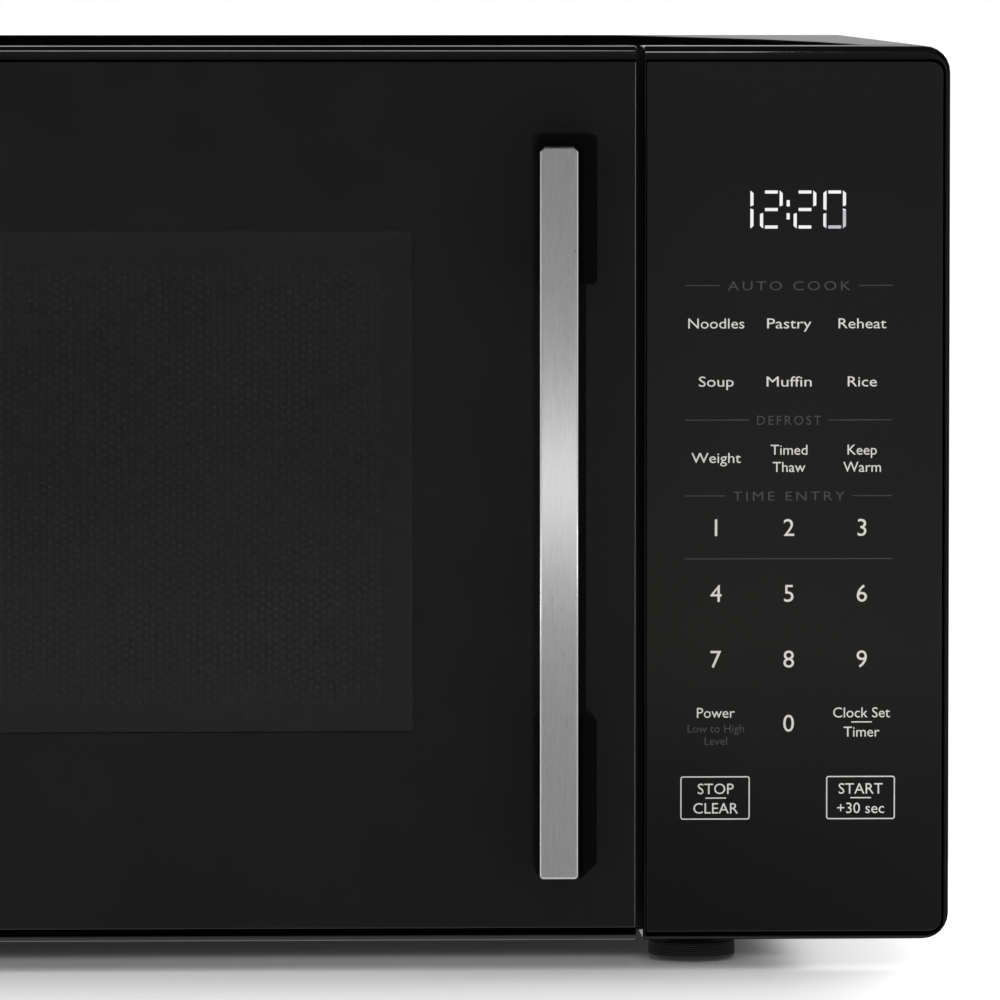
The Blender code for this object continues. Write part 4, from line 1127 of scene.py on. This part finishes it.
def dress_nodes():
    plastic = black_plastic()
    zinc = zinc_steel()
    ivory = natural_plastic()
    dress(cabinet_paint(), "outer_cabinet")
    dress(plate_paint(), "front_plate", "base_plate", "rear_panel")
    # painted shade: the inner pane is tinted grey to darken the cavity seen through the screen's holes
    dress(clear_glass("inner_pane_tinted_as_shade", (0.56, 0.57, 0.57)), "door_inner_pane")
    dress(clear_glass("tray_glass", (0.93, 0.97, 0.955)), "glass_tray")
    dress(handle_plastic(), "handle_body")
    dress(
        plastic,
        *("door_choke_cover", "rear_spacer_left", "rear_spacer_right", "cord_gland", "thermal_cutout"),
        *("hv_diode", "fan_shroud", "primary_switch", "monitor_switch", "sensing_switch"),
    )
    dress(
        zinc,
        *("hinge_bracket_upper", "hinge_bracket_lower", "rear_screw_left"),
        *("rear_screw_right", "waveguide", "magnetron", "capacitor", "fan_motor", "door_choke_frame"),
        *("door_hinge_plate_upper", "door_hinge_plate_lower", "turntable_motor"),
    )
    dress(zinc_steel("core_laminations", 0.34), "transformer_core")
    dress(cavity_enamel(), "oven_cavity")
    dress(mica_sheet(), "waveguide_cover")
    dress(
        ivory,
        *("cavity_lamp", "fan_blade", "interlock_bracket", "primary_plunger", "monitor_plunger"),
        *("sensing_plunger", "touch_sheet", "latch_hook", "drive_coupler", "roller_ring"),
        *("roller_wheel_1", "roller_wheel_2", "roller_wheel_3"),
    )
    dress(copper_winding(), "transformer_coil")
    dress(circuit_board((None, -0.2050, None), (None, -0.2026, None)), "control_board")
    dress(circuit_board((None, None, 0.3328), (None, None, 0.3350)), "filter_board")
    dress(display_window(), "display_module")
    for obj in NODES.values():
        obj.data.shade_smooth()
        obj.data.set_sharp_from_angle(angle=math.radians(32))


def light_the_set(floor, trim, rims):
    """A softbox overhead, a strip for the edges, cards for the trim, and patches on the floor."""
    above = FRONT + 0.26
    overhead = area_light("overhead_softbox", (0.0, above, 2.4), (0.0, above, 0.0), (2.6, 0.5), 12.5)
    overhead.visible_glossy = False
    edges = [NODES["outer_cabinet"], *rims]
    strip = ((-0.55, -2.6, 1.60), (0.0, -0.2, 0.2), (2.0, 0.6))
    area_light("front_strip", *strip, 34.0, only=edges)
    area_light("floor_strip", *strip, 15.5, only=[floor])
    grip = (0.155, -0.25, 0.190)
    area_light("handle_card", (0.166, -0.50, 0.176), grip, (1.2, 0.03), 0.28, only=[trim])
    area_light("handle_fill", (0.20, -1.70, 0.13), grip, (1.5, 1.5), 1.5, only=[trim])
    area_light("handle_left", (-0.60, -0.75, 0.19), (0.150, -0.25, 0.190), (0.5, 1.0), 1.2, only=[trim])
    area_light("handle_right", (0.91, -0.75, 0.19), (0.160, -0.25, 0.190), (0.5, 1.0), 1.0, only=[trim])
    under = 0.0110  # just below the base plate
    patches = (
        ("floor_right", (0.4995, 0.0, under), (0.501, 0.43), 0.50),
        ("floor_corner", (0.53, -0.344, 0.020), (0.50, 0.25), 0.15),
        ("floor_front", (-0.0575, FRONT + 0.0365, under), (0.625, 0.037), 0.0130),
    )
    for name, place, size, watts in patches:
        area_light(name, place, (place[0], place[1], 0.0), size, watts, only=[floor])


def make_scene():
    bpy.context.scene.view_settings.view_transform = "Standard"
    add_camera()
    add_world()
    add_reflected_card()
    floor = add_floor()
    dress_nodes()
    soften(NODES["handle_body"], 0.0006)
    gloss = gloss_black()
    rims = [make_door_rim(gloss), make_panel_rim(gloss)]
    make_front_glass()
    trim = make_handle_trim()
    make_perforated_screen(screen_coating())
    make_clock(lit_segments())
    cream = legend_ink("legend_cream", 0.66, 0.03)
    dim = legend_ink("legend_dim", 0.054)
    rule = legend_ink("legend_rule", 0.042)
    make_legends(cream, dim, rule)
    make_feet(foot_rubber())
    make_latch_coil()
    light_the_set(floor, trim, rims)


make_scene()
